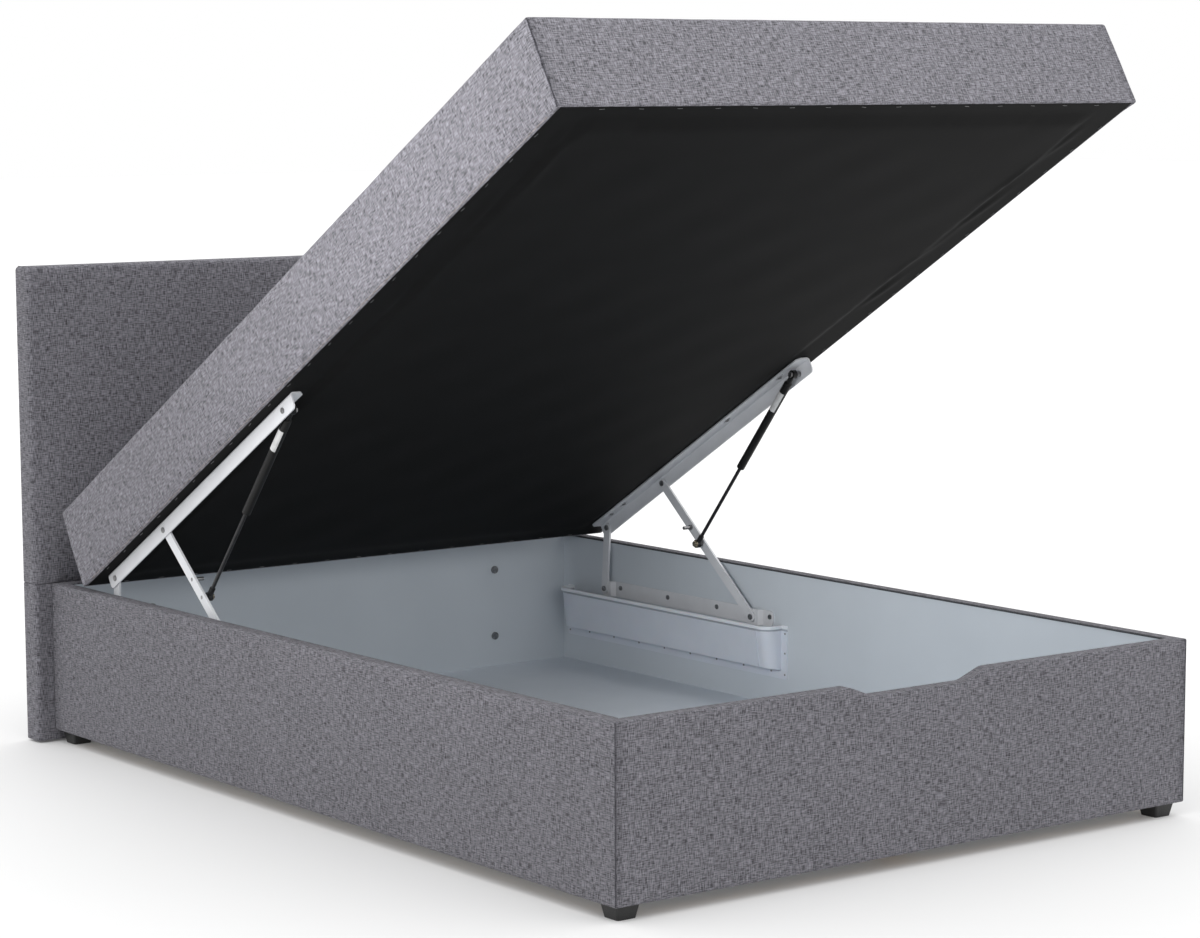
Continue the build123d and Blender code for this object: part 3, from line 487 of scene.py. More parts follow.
class Nodes:
    """The nodes of a finish, or of the light round the bed, and the calls that add to them."""

    def __init__(self, owner, shader, follow):
        owner.use_nodes = True
        self.owner = owner
        self.tree = owner.node_tree
        self.shader = self.tree.nodes[shader]
        self.place = self.put("ShaderNodeTexCoord", {}).outputs[follow]

    def put(self, kind, values, **settings):
        """Adds a node; each value is a number, a colour or the output of another node."""
        node = self.tree.nodes.new(kind)
        for key, value in settings.items():
            setattr(node, key, value)
        for key, value in values.items():
            if isinstance(value, bpy.types.NodeSocket):
                self.tree.links.new(value, node.inputs[key])
            else:
                node.inputs[key].default_value = value
        return node

    def link(self, value, socket):
        """Takes a value to one of the shader's sockets."""
        self.tree.links.new(value, self.shader.inputs[socket])

    def maths(self, operation, a, b=0.0, c=0.0):
        return self.put("ShaderNodeMath", {0: a, 1: b, 2: c}, operation=operation).outputs[0]

    def coordinate(self, axis):
        return self.put("ShaderNodeSeparateXYZ", {0: self.place}).outputs[axis]

    def noise(self, scale, detail=2.0, roughness=0.55):
        """Noise with one scale, or stretched by a scale for each axis."""
        scale = scale if isinstance(scale, (tuple, list)) else (scale, scale, scale)
        mapped = self.put("ShaderNodeMapping", {"Vector": self.place, "Scale": scale}).outputs[0]
        values = {"Vector": mapped, "Scale": 1.0, "Detail": detail, "Roughness": roughness}
        return self.put("ShaderNodeTexNoise", values).outputs[0]

    def spread(self, value, low, high, to_low=0.0, to_high=1.0):
        """Stretches a range of values over another one."""
        values = {0: value, 1: low, 2: high, 3: to_low, 4: to_high}
        return self.put("ShaderNodeMapRange", values).outputs[0]

    def mix(self, share, first, second, kind="MIX"):
        """Blends two colours, each the output of a node or three numbers."""
        first, second = (
            each if isinstance(each, bpy.types.NodeSocket) else (*each, 1)
            for each in (first, second)
        )
        values = {0: share, 6: first, 7: second}
        return self.put("ShaderNodeMix", values, data_type="RGBA", blend_type=kind).outputs[2]

    def bump(self, height, distance, strength):
        values = {"Height": height, "Distance": distance, "Strength": strength}
        self.link(self.put("ShaderNodeBump", values).outputs[0], "Normal")

    def surface(self, colour, grain, roughness):
        """The colour of a hard surface, and a roughness that varies with its grain."""
        self.link(colour, "Base Color")
        low, high = roughness - 0.05, roughness + 0.07
        self.link(self.spread(grain, 0.3, 0.7, low, high), "Roughness")


def new_finish(name, follow="Object", **sockets):
    """A material with its constant values set on the shader's own sockets."""
    finish = Nodes(bpy.data.materials.new(name), "Principled BSDF", follow)
    for key, value in sockets.items():
        socket = key.replace("_", " ").title().replace("Ior", "IOR")
        finish.shader.inputs[socket].default_value = value
    return finish


def woven_cloth(name, sizes, tone_share):
    """Grey melange cloth: light and dark yarns that cross, with thick and thin places."""
    cloth = new_finish(
        name, "UV", roughness=0.92, sheen_weight=0.08, sheen_roughness=0.6,
        specular_ior_level=0.12,
    )
    dark, light = (
        [part * tone_share for part in colour[:3]]
        for colour in (sizes.cloth_dark, sizes.cloth_light)
    )
    weft, warp = (
        cloth.spread(cloth.noise(scale, 0.6), 0.35, 0.65) for scale in ((70, 600, 1), (600, 70, 1))
    )
    crossing = cloth.maths("ADD", weft, warp)
    slubs = cloth.maths("ADD", cloth.noise((38, 430, 1), 0.8), cloth.noise((430, 38, 1), 0.8))
    clouds = cloth.maths("MULTIPLY", cloth.noise(9, 3.0), 0.14)
    tone = cloth.maths("MULTIPLY_ADD", crossing, 0.42, clouds)
    tone = cloth.maths("MULTIPLY_ADD", slubs, 0.36, tone)
    colour = cloth.mix(cloth.spread(tone, 0.44, 1.22), dark, light)
    # Painted shade: where the seam attribute is 1, the weave is darkened to about a third, along
    # the sewn corners.
    crease = cloth.put("ShaderNodeAttribute", {}, attribute_name="crease").outputs["Fac"]
    shade = cloth.mix(crease, (1, 1, 1), (0.32, 0.32, 0.34))
    cloth.link(cloth.mix(1.0, colour, shade, "MULTIPLY"), "Base Color")
    yarn_pitch = 0.0016
    turns = [
        cloth.maths("MULTIPLY", cloth.coordinate(axis), 2 * pi / yarn_pitch) for axis in (0, 1)
    ]
    weave = cloth.maths("MULTIPLY", *[cloth.maths("SINE", turn) for turn in turns])
    cloth.bump(cloth.maths("MULTIPLY_ADD", weave, 0.35, crossing), 0.0009, 0.7)
    return cloth.owner


def dust_cloth_finish():
    """Black bonded cloth, thin and slightly shiny, with a fine embossed grid of dots."""
    cloth = new_finish("dust cloth", "UV", roughness=0.7, specular_ior_level=0.08)
    clouds = cloth.maths("MULTIPLY", cloth.noise((5, 9, 1), 3.0), 0.6)
    fibres = cloth.noise((500, 700, 1), 4.0, 0.7)
    dots = cloth.put(
        "ShaderNodeTexVoronoi", {"Vector": cloth.place, "Scale": 450.0, "Randomness": 0.15},
        voronoi_dimensions="2D",
    ).outputs["Distance"]
    share = cloth.maths("MULTIPLY_ADD", fibres, 0.5, clouds)
    cloth.link(cloth.mix(share, (0.0022,) * 3, (0.0085,) * 3), "Base Color")
    cloth.bump(cloth.maths("MULTIPLY_ADD", dots, 0.5, fibres), 0.0002, 0.5)
    return cloth.owner


def plain_finish(name, dark, light, clouds, depth, fine, roughness, sockets=()):
    """A coated, moulded or metal surface: faint clouds of tone, and a fine relief."""
    coat = new_finish(name, **dict(sockets))
    colour = coat.mix(coat.spread(coat.noise(clouds, 3.0), 0.3, 0.7), dark, light)
    grain = coat.noise(fine)
    coat.surface(colour, grain, roughness)
    coat.bump(grain, depth, 0.6)
    return coat.owner


def wood_finish(name, dark, light, stretch):
    """Raw sawn wood with its grain along the longest pieces."""
    wood = new_finish(name, roughness=0.75, specular_ior_level=0.25)
    rings = wood.noise(stretch, 5.0, 0.65)
    pores = wood.noise([axis * 9 for axis in stretch], 3.0, 0.7)
    share = wood.spread(wood.maths("MULTIPLY_ADD", pores, 0.35, rings), 0.4, 0.95)
    wood.link(wood.mix(share, dark, light), "Base Color")
    wood.bump(pores, 0.0004, 0.5)
    return wood.owner


def guard_finish(top):
    """White moulded plastic; its upper edge is a bead over a narrow groove, with a painted
    highlight on the bead and painted shadow in the groove under the lip.
    """
    guard = new_finish("white guard plastic", subsurface_weight=0.08, subsurface_scale=0.004)
    clouds = guard.spread(guard.noise(8, 3.0), 0.3, 0.7)
    below = guard.maths("SUBTRACT", top, guard.coordinate(2))
    bead_and_highlight = guard.spread(below, 0.0065, 0.0080, 1.0, 0.0)
    off_groove = guard.maths("ABSOLUTE", guard.maths("SUBTRACT", below, 0.0100))
    groove = guard.spread(off_groove, 0.0008, 0.0030, 1.0, 0.0)
    colour = guard.mix(clouds, (0.60, 0.64, 0.71), (0.65, 0.69, 0.76))
    # Painted highlight on the bead, and painted shadow in the groove under the lip.
    colour = guard.mix(bead_and_highlight, colour, (0.76, 0.79, 0.84))
    colour = guard.mix(groove, colour, (0.36, 0.39, 0.44))
    grain = guard.noise(260)
    guard.surface(colour, grain, 0.36)
    stand = guard.maths("SUBTRACT", bead_and_highlight, groove)
    guard.bump(guard.maths("MULTIPLY_ADD", grain, 0.2, stand), 0.0012, 0.6)
    return guard.owner


# By slot: name, dark and light tone, scale of the clouds, depth and scale of the grain, roughness
PLAIN_FINISHES = {
    "interior_board": (
        "coated board", (0.545, 0.59, 0.635), (0.585, 0.63, 0.675), 3, 0.00012, 900, 0.5,
    ),
    "floor_board": (
        "coated hardboard", (0.62, 0.67, 0.73), (0.68, 0.73, 0.79), 4, 0.00015, 700, 0.42,
    ),
    "spring_cloth": (
        "spring pockets", (0.62, 0.62, 0.60), (0.75, 0.75, 0.73), 30, 0.0005, 500, 0.85,
    ),
    "felt": ("felt", (0.20, 0.19, 0.19), (0.46, 0.44, 0.42), 90, 0.0015, 420, 0.93),
    "foam": ("foam", (0.70, 0.64, 0.46), (0.80, 0.74, 0.56), 12, 0.0012, 600, 0.9),
    "white_steel": (
        "powder coated steel", (0.62, 0.63, 0.655), (0.68, 0.69, 0.715), 14, 0.0002, 1400, 0.36,
        {"coat_weight": 0.2},
    ),
    "zinc": (
        "zinc", (0.17, 0.17, 0.175), (0.34, 0.34, 0.34), 160, 0.0001, 1800, 0.34,
        {"metallic": 1.0},
    ),
    "brass_zinc": (
        "yellow zinc", (0.27, 0.23, 0.16), (0.46, 0.41, 0.31), 160, 0.0001, 1800, 0.36,
        {"metallic": 1.0},
    ),
    "black_steel": (
        "black painted steel", (0.004,) * 3, (0.008,) * 3, 30, 0.00008, 1200, 0.42,
        {"specular_ior_level": 0.25},
    ),
    "rod_steel": (
        "blackened rod", (0.008, 0.008, 0.009), (0.018, 0.018, 0.02), 60, 0.00004, 1500, 0.3,
        {"specular_ior_level": 0.35},
    ),
    "foot_plastic": ("black foot plastic", (0.010,) * 3, (0.018,) * 3, 25, 0.0006, 900, 0.48),
    "patch": ("bare paper patch", (0.50,) * 3, (0.62,) * 3, 60, 0.00005, 900, 0.45),
    "welt": (
        "dark welt", (0.028, 0.030, 0.034), (0.055, 0.058, 0.064), 220, 0.0003, 1500, 0.8,
    ),
}
FINISHES = {}


class BED_OT_finishes(bpy.types.Operator):
    """Makes the finishes and gives them to the rigid parts of the bed"""

    bl_idname = "bed.finishes"
    bl_label = "Finishes"

    def execute(self, context):
        sizes = context.scene.bed_upholstery
        for slot, values in PLAIN_FINISHES.items():
            FINISHES[slot] = plain_finish(*values)
        # The three covers share one cloth; the platform's copy is made lighter, a painted lit copy
        # that stands in for the light on its sides.
        for part, tone_share in (("box", 0.93), ("platform", 1.18), ("headboard", 0.95)):
            FINISHES[f"{part}_cloth"] = woven_cloth(f"{part} cloth", sizes, tone_share)
        FINISHES["dust_cloth"] = dust_cloth_finish()
        FINISHES["guard_plastic"] = guard_finish(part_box("guard_tray_left")[1].z)
        FINISHES["raw_wood"] = wood_finish(
            "raw wood", (0.42, 0.27, 0.14), (0.72, 0.54, 0.34), (22.0, 2.0, 22.0)
        )
        for node in frame["nodes"].values():
            for held in node.material_slots:
                held.material = FINISHES[held.material.name.split(".")[0]]
        return {"FINISHED"}


# Sewn covers

def seam_draw(distance, sizes):
    """How far a sewn corner draws the cloth in at a distance from it."""
    share = distance / sizes.seam_run
    return sizes.seam_dip * share * exp(1 - share)


def seam_line_and_band_shade(distance):
    """Painted shade of a seam: its thin dark line, and the softer dark band beside it."""
    line_width, band_width = 0.0016, 0.016
    line = 0.75 * exp(-((distance / line_width) ** 2))
    return line + 0.26 * exp(-((distance / band_width) ** 4))


def paint_seam_shade(piece, rule):
    """Keeps how deep in a seam's painted shade each point of the cloth lies, for the finish."""
    shade = piece.data.attributes.new("crease", "FLOAT", "POINT")
    for vertex, value in zip(piece.data.vertices, shade.data):
        value.value = rule(vertex.co)


class BED_OT_platform_cover(bpy.types.Operator):
    """The padded cover of the lifting platform, with its hem turned under the frame"""

    bl_idname = "bed.platform_cover"
    bl_label = "Platform cover"

    def execute(self, context):
        sizes = context.scene.bed_upholstery
        half, length = PLATFORM_HALF, PLATFORM_LENGTH
        height = TOP_SIDE - UNDERSIDE - sizes.crown
        cover = block("platform_cover_cloth", (-half, 0, 0), (half, length, height))
        with editing(cover):
            bevel(cover, "EDGE", lambda edge: runs_along(edge, 2), sizes.corner, 4)
            round_rim(cover, looks_up, sizes.top_roll, 3)
            round_rim(cover, looks_down, sizes.bottom_roll, 4)
            choose(cover, "FACE", is_underside)
            bpy.ops.mesh.inset(thickness=0.001)
            bpy.ops.transform.translate(value=(0, 0, 0.0012))
            choose(cover, "FACE", is_underside)
            bpy.ops.mesh.inset(thickness=sizes.hem - sizes.bottom_roll)
            self.square_hem(cover, half, length, sizes.hem / 2)
            take_away(cover, lambda face: is_underside(face) and face.calc_area() > 1)
            cut_rows(0, [row - half for row in self.rows(2 * half, sizes)])
            cut_rows(1, self.rows(length, sizes))
            cut_rows(2, [0.009, 0.014, 0.020] + even(0.020, height - sizes.top_roll, 0.022))
        lay_cloth(cover)
        belly_depth, tuck_height, tuck_depth, tuck_run = 0.0016, 0.024, 0.012, 0.03

        def soft_shape(place):
            share_x = place.x / half
            share_y = 2 * place.y / length - 1
            share_z = share_of(place.z, height)
            to_end = min(place.y, length - place.y)
            to_side = half - abs(place.x)
            outward = 1 if place.x > 0 else -1
            shift = Vector((0, 0, 0))
            if place.z > height - 2 * TOUCH:
                shift.z = sizes.crown * (1 - share_x ** 2) * (1 - share_y ** 8)
            belly = belly_depth * sin(pi * share_z) if 0 < share_z < 1 else 0
            on_wall = sizes.bottom_roll < place.z < height - TOUCH
            if on_wall and to_side < TOUCH:
                shift.x = belly * outward
            if place.z < tuck_height and to_side < tuck_depth and to_end > sizes.corner:
                tuck = sizes.side_tuck * (1 - place.z / tuck_height) ** 2
                shift.x -= tuck * min((to_end - sizes.corner) / tuck_run, 1) * outward
            if on_wall and to_end < TOUCH:
                draw = seam_draw(max(to_side - sizes.corner * 0.5, 0), sizes)
                shift.y = (draw - belly) if place.y < length / 2 else (belly - draw)
            return shift

        move_points(cover, soft_shape)
        inflate(cover, lambda place: place.z < sizes.bottom_roll * 0.6, sizes.swell)
        relief(cover, 0.16, 0.0022, lambda vertex: float(vertex.co.z > 0.03))
        relief(cover, 0.05, 0.0008, lambda vertex: float(vertex.co.z > 0.02))
        seam_x = half - sizes.corner * 0.3
        self.sew_corners(cover, seam_x, length, height)

        # Painted shade down each sewn upright corner, on the end bands beside the seam.
        def crease(place):
            to_seam = seam_x - abs(place.x)
            to_end = min(place.y, length - place.y)
            if not 0.001 < place.z < height + 0.004 or to_end > sizes.corner:
                return 0.0
            return seam_line_and_band_shade(to_seam) if to_seam > -0.0012 else 0.0

        paint_seam_shade(cover, crease)
        thicken(cover, sizes.cloth, 60)
        place_by(cover, PLATFORM)
        hand_over(cover, "platform_cloth", "platform", "platform_cover")
        return {"FINISHED"}

    def rows(self, run, sizes):
        """Rows across a side of the cover, close together beside its two corners."""
        beside = [row + sizes.corner for row in SEAM_ROWS[1:]]
        last = beside[-1]
        return beside + even(last, run - last, ROW_PITCH) + [run - row for row in beside]

    def square_hem(self, cover, half, length, margin):
        """Gathers the rounded corners of the hem's inner edge, each to one point."""
        for side in SIDES.values():
            for end in SIDES.values():

                def in_corner(point):
                    to_side = half - point.co.x * side
                    to_end = length / 2 - (point.co.y - length / 2) * end
                    return point.co.z < 0.002 and margin < max(to_side, to_end) < half

                choose(cover, "VERT", in_corner)
                bpy.ops.mesh.merge(type="CENTER")

    def sew_corners(self, cover, seam_x, length, height):
        """Sinks a narrow groove down each upright corner, where the bands are sewn."""
        groove, depth = 0.0011, 0.0016
        with editing(cover):
            for side in SIDES.values():
                for edge in (-groove / 2, groove / 2):
                    cut((side * seam_x + edge, 0, 0), (1, 0, 0))

            def in_groove(face):
                place = face.calc_center_median()
                to_end = min(place.y, length - place.y)
                on_wall = abs(face.normal.z) < 0.6 and 0.002 < place.z < height
                return on_wall and to_end < 0.02 and near(abs(place.x), seam_x, groove * 0.45)

            choose(cover, "FACE", in_groove)
            bpy.ops.mesh.inset(thickness=0.0002, depth=-depth)


def wall_cover(name, length, sizes, grip=None):
    """The cover of one wall of the box, made with its outer face on the XZ plane."""
    half = length / 2
    height = RIM - BOX_BOTTOM + TOUCH
    grip_top, grip_bottom, grip_depth = grip or (0, 0, 0)
    grip_roll, mitre_reach, mitre_draw, mitre_width = 0.007, 0.06, 0.0006, 0.0012
    cover = block(name, (-half, 0, 0), (half, WALL_DEPTH, height))
    with editing(cover):
        take_away(cover, lambda face: face.normal.y > 0.9 or abs(face.normal.x) > 0.9)
        if grip:
            edges = (grip_top, grip_bottom)
            cut_rows(0, [side * place for place in edges for side in SIDES.values()])
            choose(
                cover, "VERT",
                lambda point: near(point.co.z, height) and abs(point.co.x) < grip_bottom + 0.001,
            )
            bpy.ops.transform.translate(value=(0, 0, -grip_depth))
            bevel(
                cover, "EDGE",
                lambda edge: runs_along(edge, 1) and middle(edge).z > height / 2
                and min(abs(abs(middle(edge).x) - place) for place in edges) < 0.001,
                grip_roll, 4,
            )
        bevel(
            cover, "EDGE",
            lambda edge: near(middle(edge).y, 0) and len(edge.link_faces) == 2
            and not near(edge.link_faces[0].normal.y, edge.link_faces[1].normal.y, 0.2),
            sizes.rim_roll, 3,
        )
        choose(
            cover, "EDGE",
            lambda edge: near(middle(edge).y, WALL_DEPTH) and middle(edge).z > height / 2
            and len(edge.link_faces) == 1,
        )
        for turn_in in ((0, 0.0004, -0.0006), (0, 0, -0.0034)):
            bpy.ops.mesh.extrude_region_move(TRANSFORM_OT_translate={"value": turn_in})
        for side in (1, -1):
            cut((side * half, 0, 0), (side, 1, 0), clear_outer=True)
        rows = [side * (half - row) for row in SEAM_ROWS for side in SIDES.values()]
        cut_rows(0, rows + even(SEAM_ROWS[-1] - half, half - SEAM_ROWS[-1], 0.05))
        cut_rows(2, [0.012] + even(0.012, height - 0.045, ROW_PITCH) + [height - 0.03])

    def soft_shape(place):
        to_end = half - abs(place.x)
        if place.y > TOUCH or to_end > mitre_reach:
            return 0, 0, 0
        draw = seam_draw(to_end, sizes) * 0.75 + mitre_draw * exp(-to_end / mitre_width)
        return 0, draw, 0

    lay_cloth(cover)
    move_points(cover, soft_shape)

    def free(vertex):
        edge = min(vertex.co.z, height - vertex.co.z - grip_depth, half - abs(vertex.co.x))
        return share_of(edge - 0.004, 0.03) if vertex.co.y < 0.004 else 0.0

    relief(cover, 0.11, 0.0016, free)

    # Painted shade: the foot cover gets a seam's line and band at its ends, the other walls a dark
    # line at their mitred corners.
    def crease(place):
        to_end = half - abs(place.x)
        if place.y > 0.004:
            return 0.0
        return seam_line_and_band_shade(to_end) if grip else 0.6 * exp(-((to_end / mitre_width) ** 2))

    paint_seam_shade(cover, crease)
    thicken(cover, sizes.cloth, 50)
    return cover


class BED_OT_box_covers(bpy.types.Operator):
    """The padded covers of the four walls of the box, mitred at its corners"""

    bl_idname = "bed.box_covers"
    bl_label = "Box covers"

    def execute(self, context):
        sizes = context.scene.bed_upholstery
        width, depth = 2 * BOX_HALF, BOX_BACK - BOX_FRONT
        middle_y = (BOX_FRONT + BOX_BACK) / 2
        level = BOX_BOTTOM - TOUCH
        grip_cut_out = (0.170, 0.115, 0.021)
        walls = {
            "foot_cover": (width, 0, (0, BOX_FRONT, level), grip_cut_out),
            "head_cover": (width, 180, (0, BOX_BACK, level), None),
            "side_cover_left": (depth, -90, (-BOX_HALF, middle_y, level), None),
            "side_cover_right": (depth, 90, (BOX_HALF, middle_y, level), None),
        }
        for node, (length, turn, place, grip) in walls.items():
            cover = wall_cover(f"{node}_cloth", length, sizes, grip)
            turned = Matrix.Rotation(radians(turn), 4, "Z")
            place_by(cover, Matrix.Translation(place) @ turned)
            hand_over(cover, "box_cloth", "root", node)
        return {"FINISHED"}


class BED_OT_headboard_covers(bpy.types.Operator):
    """The padded upper cover of the headboard and the plain one below its seam"""

    bl_idname = "bed.headboard_covers"
    bl_label = "Headboard covers"

    def execute(self, context):
        sizes = context.scene.bed_upholstery
        low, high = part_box("headboard_cover_lower")
        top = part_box("headboard_cover_upper")[1].z
        upper = self.padded_band(
            "headboard_cover_upper_cloth", Vector((low.x, low.y, high.z)),
            Vector((high.x, high.y, top)), sizes, 1.0, 0.010,
        )
        lower = self.padded_band("headboard_cover_lower_cloth", low, high, sizes, 0.3, 0.003)
        hand_over(upper, "headboard_cloth", "root", "headboard_cover_upper")
        hand_over(lower, "headboard_cloth", "root", "headboard_cover_lower")
        return {"FINISHED"}

    def padded_band(self, name, low, high, sizes, puff, top_roll):
        is_padded = puff > 0.5
        front_roll = sizes.headboard_roll * (1.0 if is_padded else 0.8)
        back_roll, bottom_roll, crown = 0.004, 0.003, 0.004
        band = block(name, low, high)
        with editing(band):
            for face_y, roll, segments in ((low.y, front_roll, 5), (high.y, back_roll, 2)):
                bevel(
                    band, "EDGE",
                    lambda edge: runs_along(edge, 2) and near(middle(edge).y, face_y),
                    roll, segments,
                )
            for end, roll in ((high.z, top_roll), (low.z, bottom_roll)):
                round_rim(band, lambda face: near(middle(face).z, end, 1e-5), roll, 4)
            first, last = low.x + front_roll + 0.002, high.x - front_roll - 0.002
            cut_rows(0, [first] + even(first, last, ROW_PITCH) + [last])
            cut_rows(2, even(low.z + 0.012, high.z - 0.014, ROW_PITCH) + [low.z + 0.012])
        lay_cloth(band)
        half = (high.x - low.x) / 2

        def soft_shape(place):
            if place.y > low.y + 0.002:
                return 0, 0, 0
            share_x = min(abs(place.x) / (half - front_roll), 1)
            share_z = share_of(place.z - low.z, high.z - low.z)
            rise = (1 - share_x ** 4) * (1 - (2 * share_z - 1) ** 4)
            return 0, -crown * puff * rise, 0

        move_points(band, soft_shape)
        if is_padded:
            inflate(
                band, lambda place: place.y > low.y + 0.03 or place.z < low.z + 0.004,
                sizes.swell * 0.8, frames=14,
            )

        def front_only(vertex):
            edge = min(vertex.co.z - low.z, high.z - vertex.co.z, half - abs(vertex.co.x))
            return share_of(edge - 0.006, 0.04) if vertex.co.y < low.y + 0.01 else 0.0

        relief(band, 0.14, 0.0018, front_only)
        thicken(band, sizes.cloth, 50)
        return band


# Underside of the platform

# Soft folds of the dust cloth: place along the platform, place aside, width and half length
WRINKLES = [
    (0.915, 0.628, 0.012, 0.050),
    (0.800, 0.610, 0.013, 0.080),
    (0.640, 0.634, 0.011, 0.070),
    (0.470, 0.618, 0.013, 0.090),
    (0.300, 0.636, 0.011, 0.055),
]


class BED_OT_dust_cloth(bpy.types.Operator):
    """The black cloth across the platform's underside, stapled all round"""

    bl_idname = "bed.dust_cloth"
    bl_label = "Dust cloth"

    def execute(self, context):
        sizes = context.scene.bed_underside
        half = PLATFORM_HALF - sizes.side_inset
        length = PLATFORM_LENGTH - 2 * sizes.inset
        middle_s = PLATFORM_LENGTH / 2
        cloth = block("dust_cloth_sheet", (-half, -length / 2, 0), (half, length / 2, 0.001))

        def rows(edge, margin=0.004, pitch=0.021):
            return [margin - edge] + even(-edge, edge, pitch) + [edge - margin]

        with editing(cloth):
            take_away(cloth, lambda face: face.normal.z > -0.9)
            cut_rows(0, rows(half))
            by_walls = even(0.56, 0.67, 0.006)
            cut_rows(0, [side * across for side in SIDES.values() for across in by_walls])
            cut_rows(1, rows(length / 2))
        lay_cloth(cloth)
        slack_run = 0.10
        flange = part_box("rail_right")[0].x - 0.012
        over_wall = length / 2 - WALL_DEPTH - 0.020

        def is_held(place):
            return abs(place.x) > flange or abs(place.y) > over_wall

        def soft_shape(place):
            room = share_of(flange - abs(place.x), slack_run)
            room *= share_of(over_wall - abs(place.y), slack_run)
            folds = sin(place.x * 31 + place.y * 17) * sin(place.y * 9 - place.x * 5)
            return 0, 0, -room * (0.0012 + 0.0007 * folds)

        move_points(cloth, soft_shape)
        inflate(cloth, is_held, sizes.sag, pressure=0.0, gravity=0.35, slack=0.004, frames=24)
        foot_of_rail = reach("rail_right", ALONG)[1] - HEAD_END + 0.02 - middle_s
        inside_wall = INSIDE_HALF - 0.008
        fold_depth, fold_slant, left_shift = 0.0034, 0.14, 0.07

        def wrinkles(place):
            """Soft folds beside the walls, between the rails' ends and the foot end."""
            if not foot_of_rail < place.y < over_wall or abs(place.x) > inside_wall:
                return 0, 0, 0
            start = min((place.y - foot_of_rail) / 0.12, (over_wall - place.y) / 0.06, 1)
            edge = min((inside_wall - abs(place.x)) / 0.012, 1)
            shift = left_shift if place.x < 0 else 0
            height = 0
            for along, aside, width, size in WRINKLES:
                further = place.y - along + shift
                away = abs(place.x) - aside - further * fold_slant
                height += exp(-(away / width) ** 2 - (further / size) ** 2)
            return 0, 0, -fold_depth * start * edge * height

        move_points(cloth, wrinkles)
        thicken(cloth, sizes.thickness, 60)
        place_by(cloth, PLATFORM @ Matrix.Translation((0, middle_s, 0.0001)))
        hand_over(cloth, "dust_cloth", "platform", "dust_cloth")
        return {"FINISHED"}


class BED_OT_staples(bpy.types.Operator):
    """Steel staples round the edge of the dust cloth"""

    bl_idname = "bed.staples"
    bl_label = "Staples"

    def execute(self, context):
        sizes = context.scene.bed_underside
        wire, sunk, margin, skew = 0.0008, 0.0002, 0.006, 0.12
        reach_x = sizes.staple_width / 2
        staple = block(
            "dust_cloth_staples", (-reach_x, -wire / 2, -wire), (reach_x, wire / 2, sunk)
        )
        with editing(staple):
            bevel(staple, "FACE", looks_down, wire * 0.3, 2)
        inset = sizes.inset + margin
        half, length = PLATFORM_HALF - sizes.side_inset - margin, PLATFORM_LENGTH - inset
        places = [
            (place, end, skew * sin(place * 47 + end))
            for place in even(-half, half, sizes.staple_pitch) for end in (inset, length)
        ] + [
            (side * half, place, pi / 2 + skew * sin(place * 53 + side))
            for place in even(inset, length, sizes.staple_pitch) for side in SIDES.values()
        ]
        staples = copies(staple, [
            PLATFORM @ (Matrix.Translation((x, y, 0)) @ Matrix.Rotation(turn, 4, "Z"))
            for x, y, turn in places
        ])
        hand_over(staples, "zinc", "platform")
        return {"FINISHED"}


# Small fasteners and trim

class BED_OT_rim_welts(bpy.types.Operator):
    """The dark welt along the inner top edge of each side board"""

    bl_idname = "bed.rim_welts"
    bl_label = "Rim welts"

    def execute(self, context):
        radius = context.scene.bed_hardware.welt_radius
        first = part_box("foot_board")[1].y + 0.001
        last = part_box("head_board")[0].y - 0.001
        for name, side in SIDES.items():
            welt = bar(f"side_welt_{name}", radius, last - first, 16)
            with editing(welt):
                bevel(welt, "FACE", lambda face: abs(face.normal.z) > 0.9, radius * 0.4, 2)
            x = side * (INSIDE_HALF - radius)
            place_by(welt, facing((x, (first + last) / 2, RIM - radius - 0.0003), (0, 1, 0)))
            smooth(welt, 60)
            hand_over(welt, "welt", "root", f"rim_welt_{name}", slot="box_cloth")
        return {"FINISHED"}


class BED_OT_tray_tacks(bpy.types.Operator):
    """The tacks that hold the flanges of the guard trays"""

    bl_idname = "bed.tray_tacks"
    bl_label = "Tray tacks"

    def execute(self, context):
        sizes = context.scene.bed_hardware
        flange, height, sides = 0.002, 0.0012, 10
        for name, side in SIDES.items():
            low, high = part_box(f"guard_tray_{name}")
            face = side * (max(abs(low.x), abs(high.x)) - flange)
            first, last = low.y + 0.054, high.y - 0.085
            step = (last - first) / (sizes.tack_count - 1)
            places = [
                (face, first + step * count, low.z + 0.014) for count in range(sizes.tack_count)
            ] + [
                (face, end, level)
                for end in (low.y + 0.007, high.y - 0.007)
                for level in (low.z + 0.0105, low.z + 0.059, high.z - 0.0175)
            ]
            tack = round_head(f"guard_tray_tacks_{name}", sizes.tack_radius, height, sides)
            tacks = copies(tack, [facing(place, (-side, 0, 0)) for place in places])
            smooth(tacks)
            hand_over(tacks, "zinc", "root")
        return {"FINISHED"}


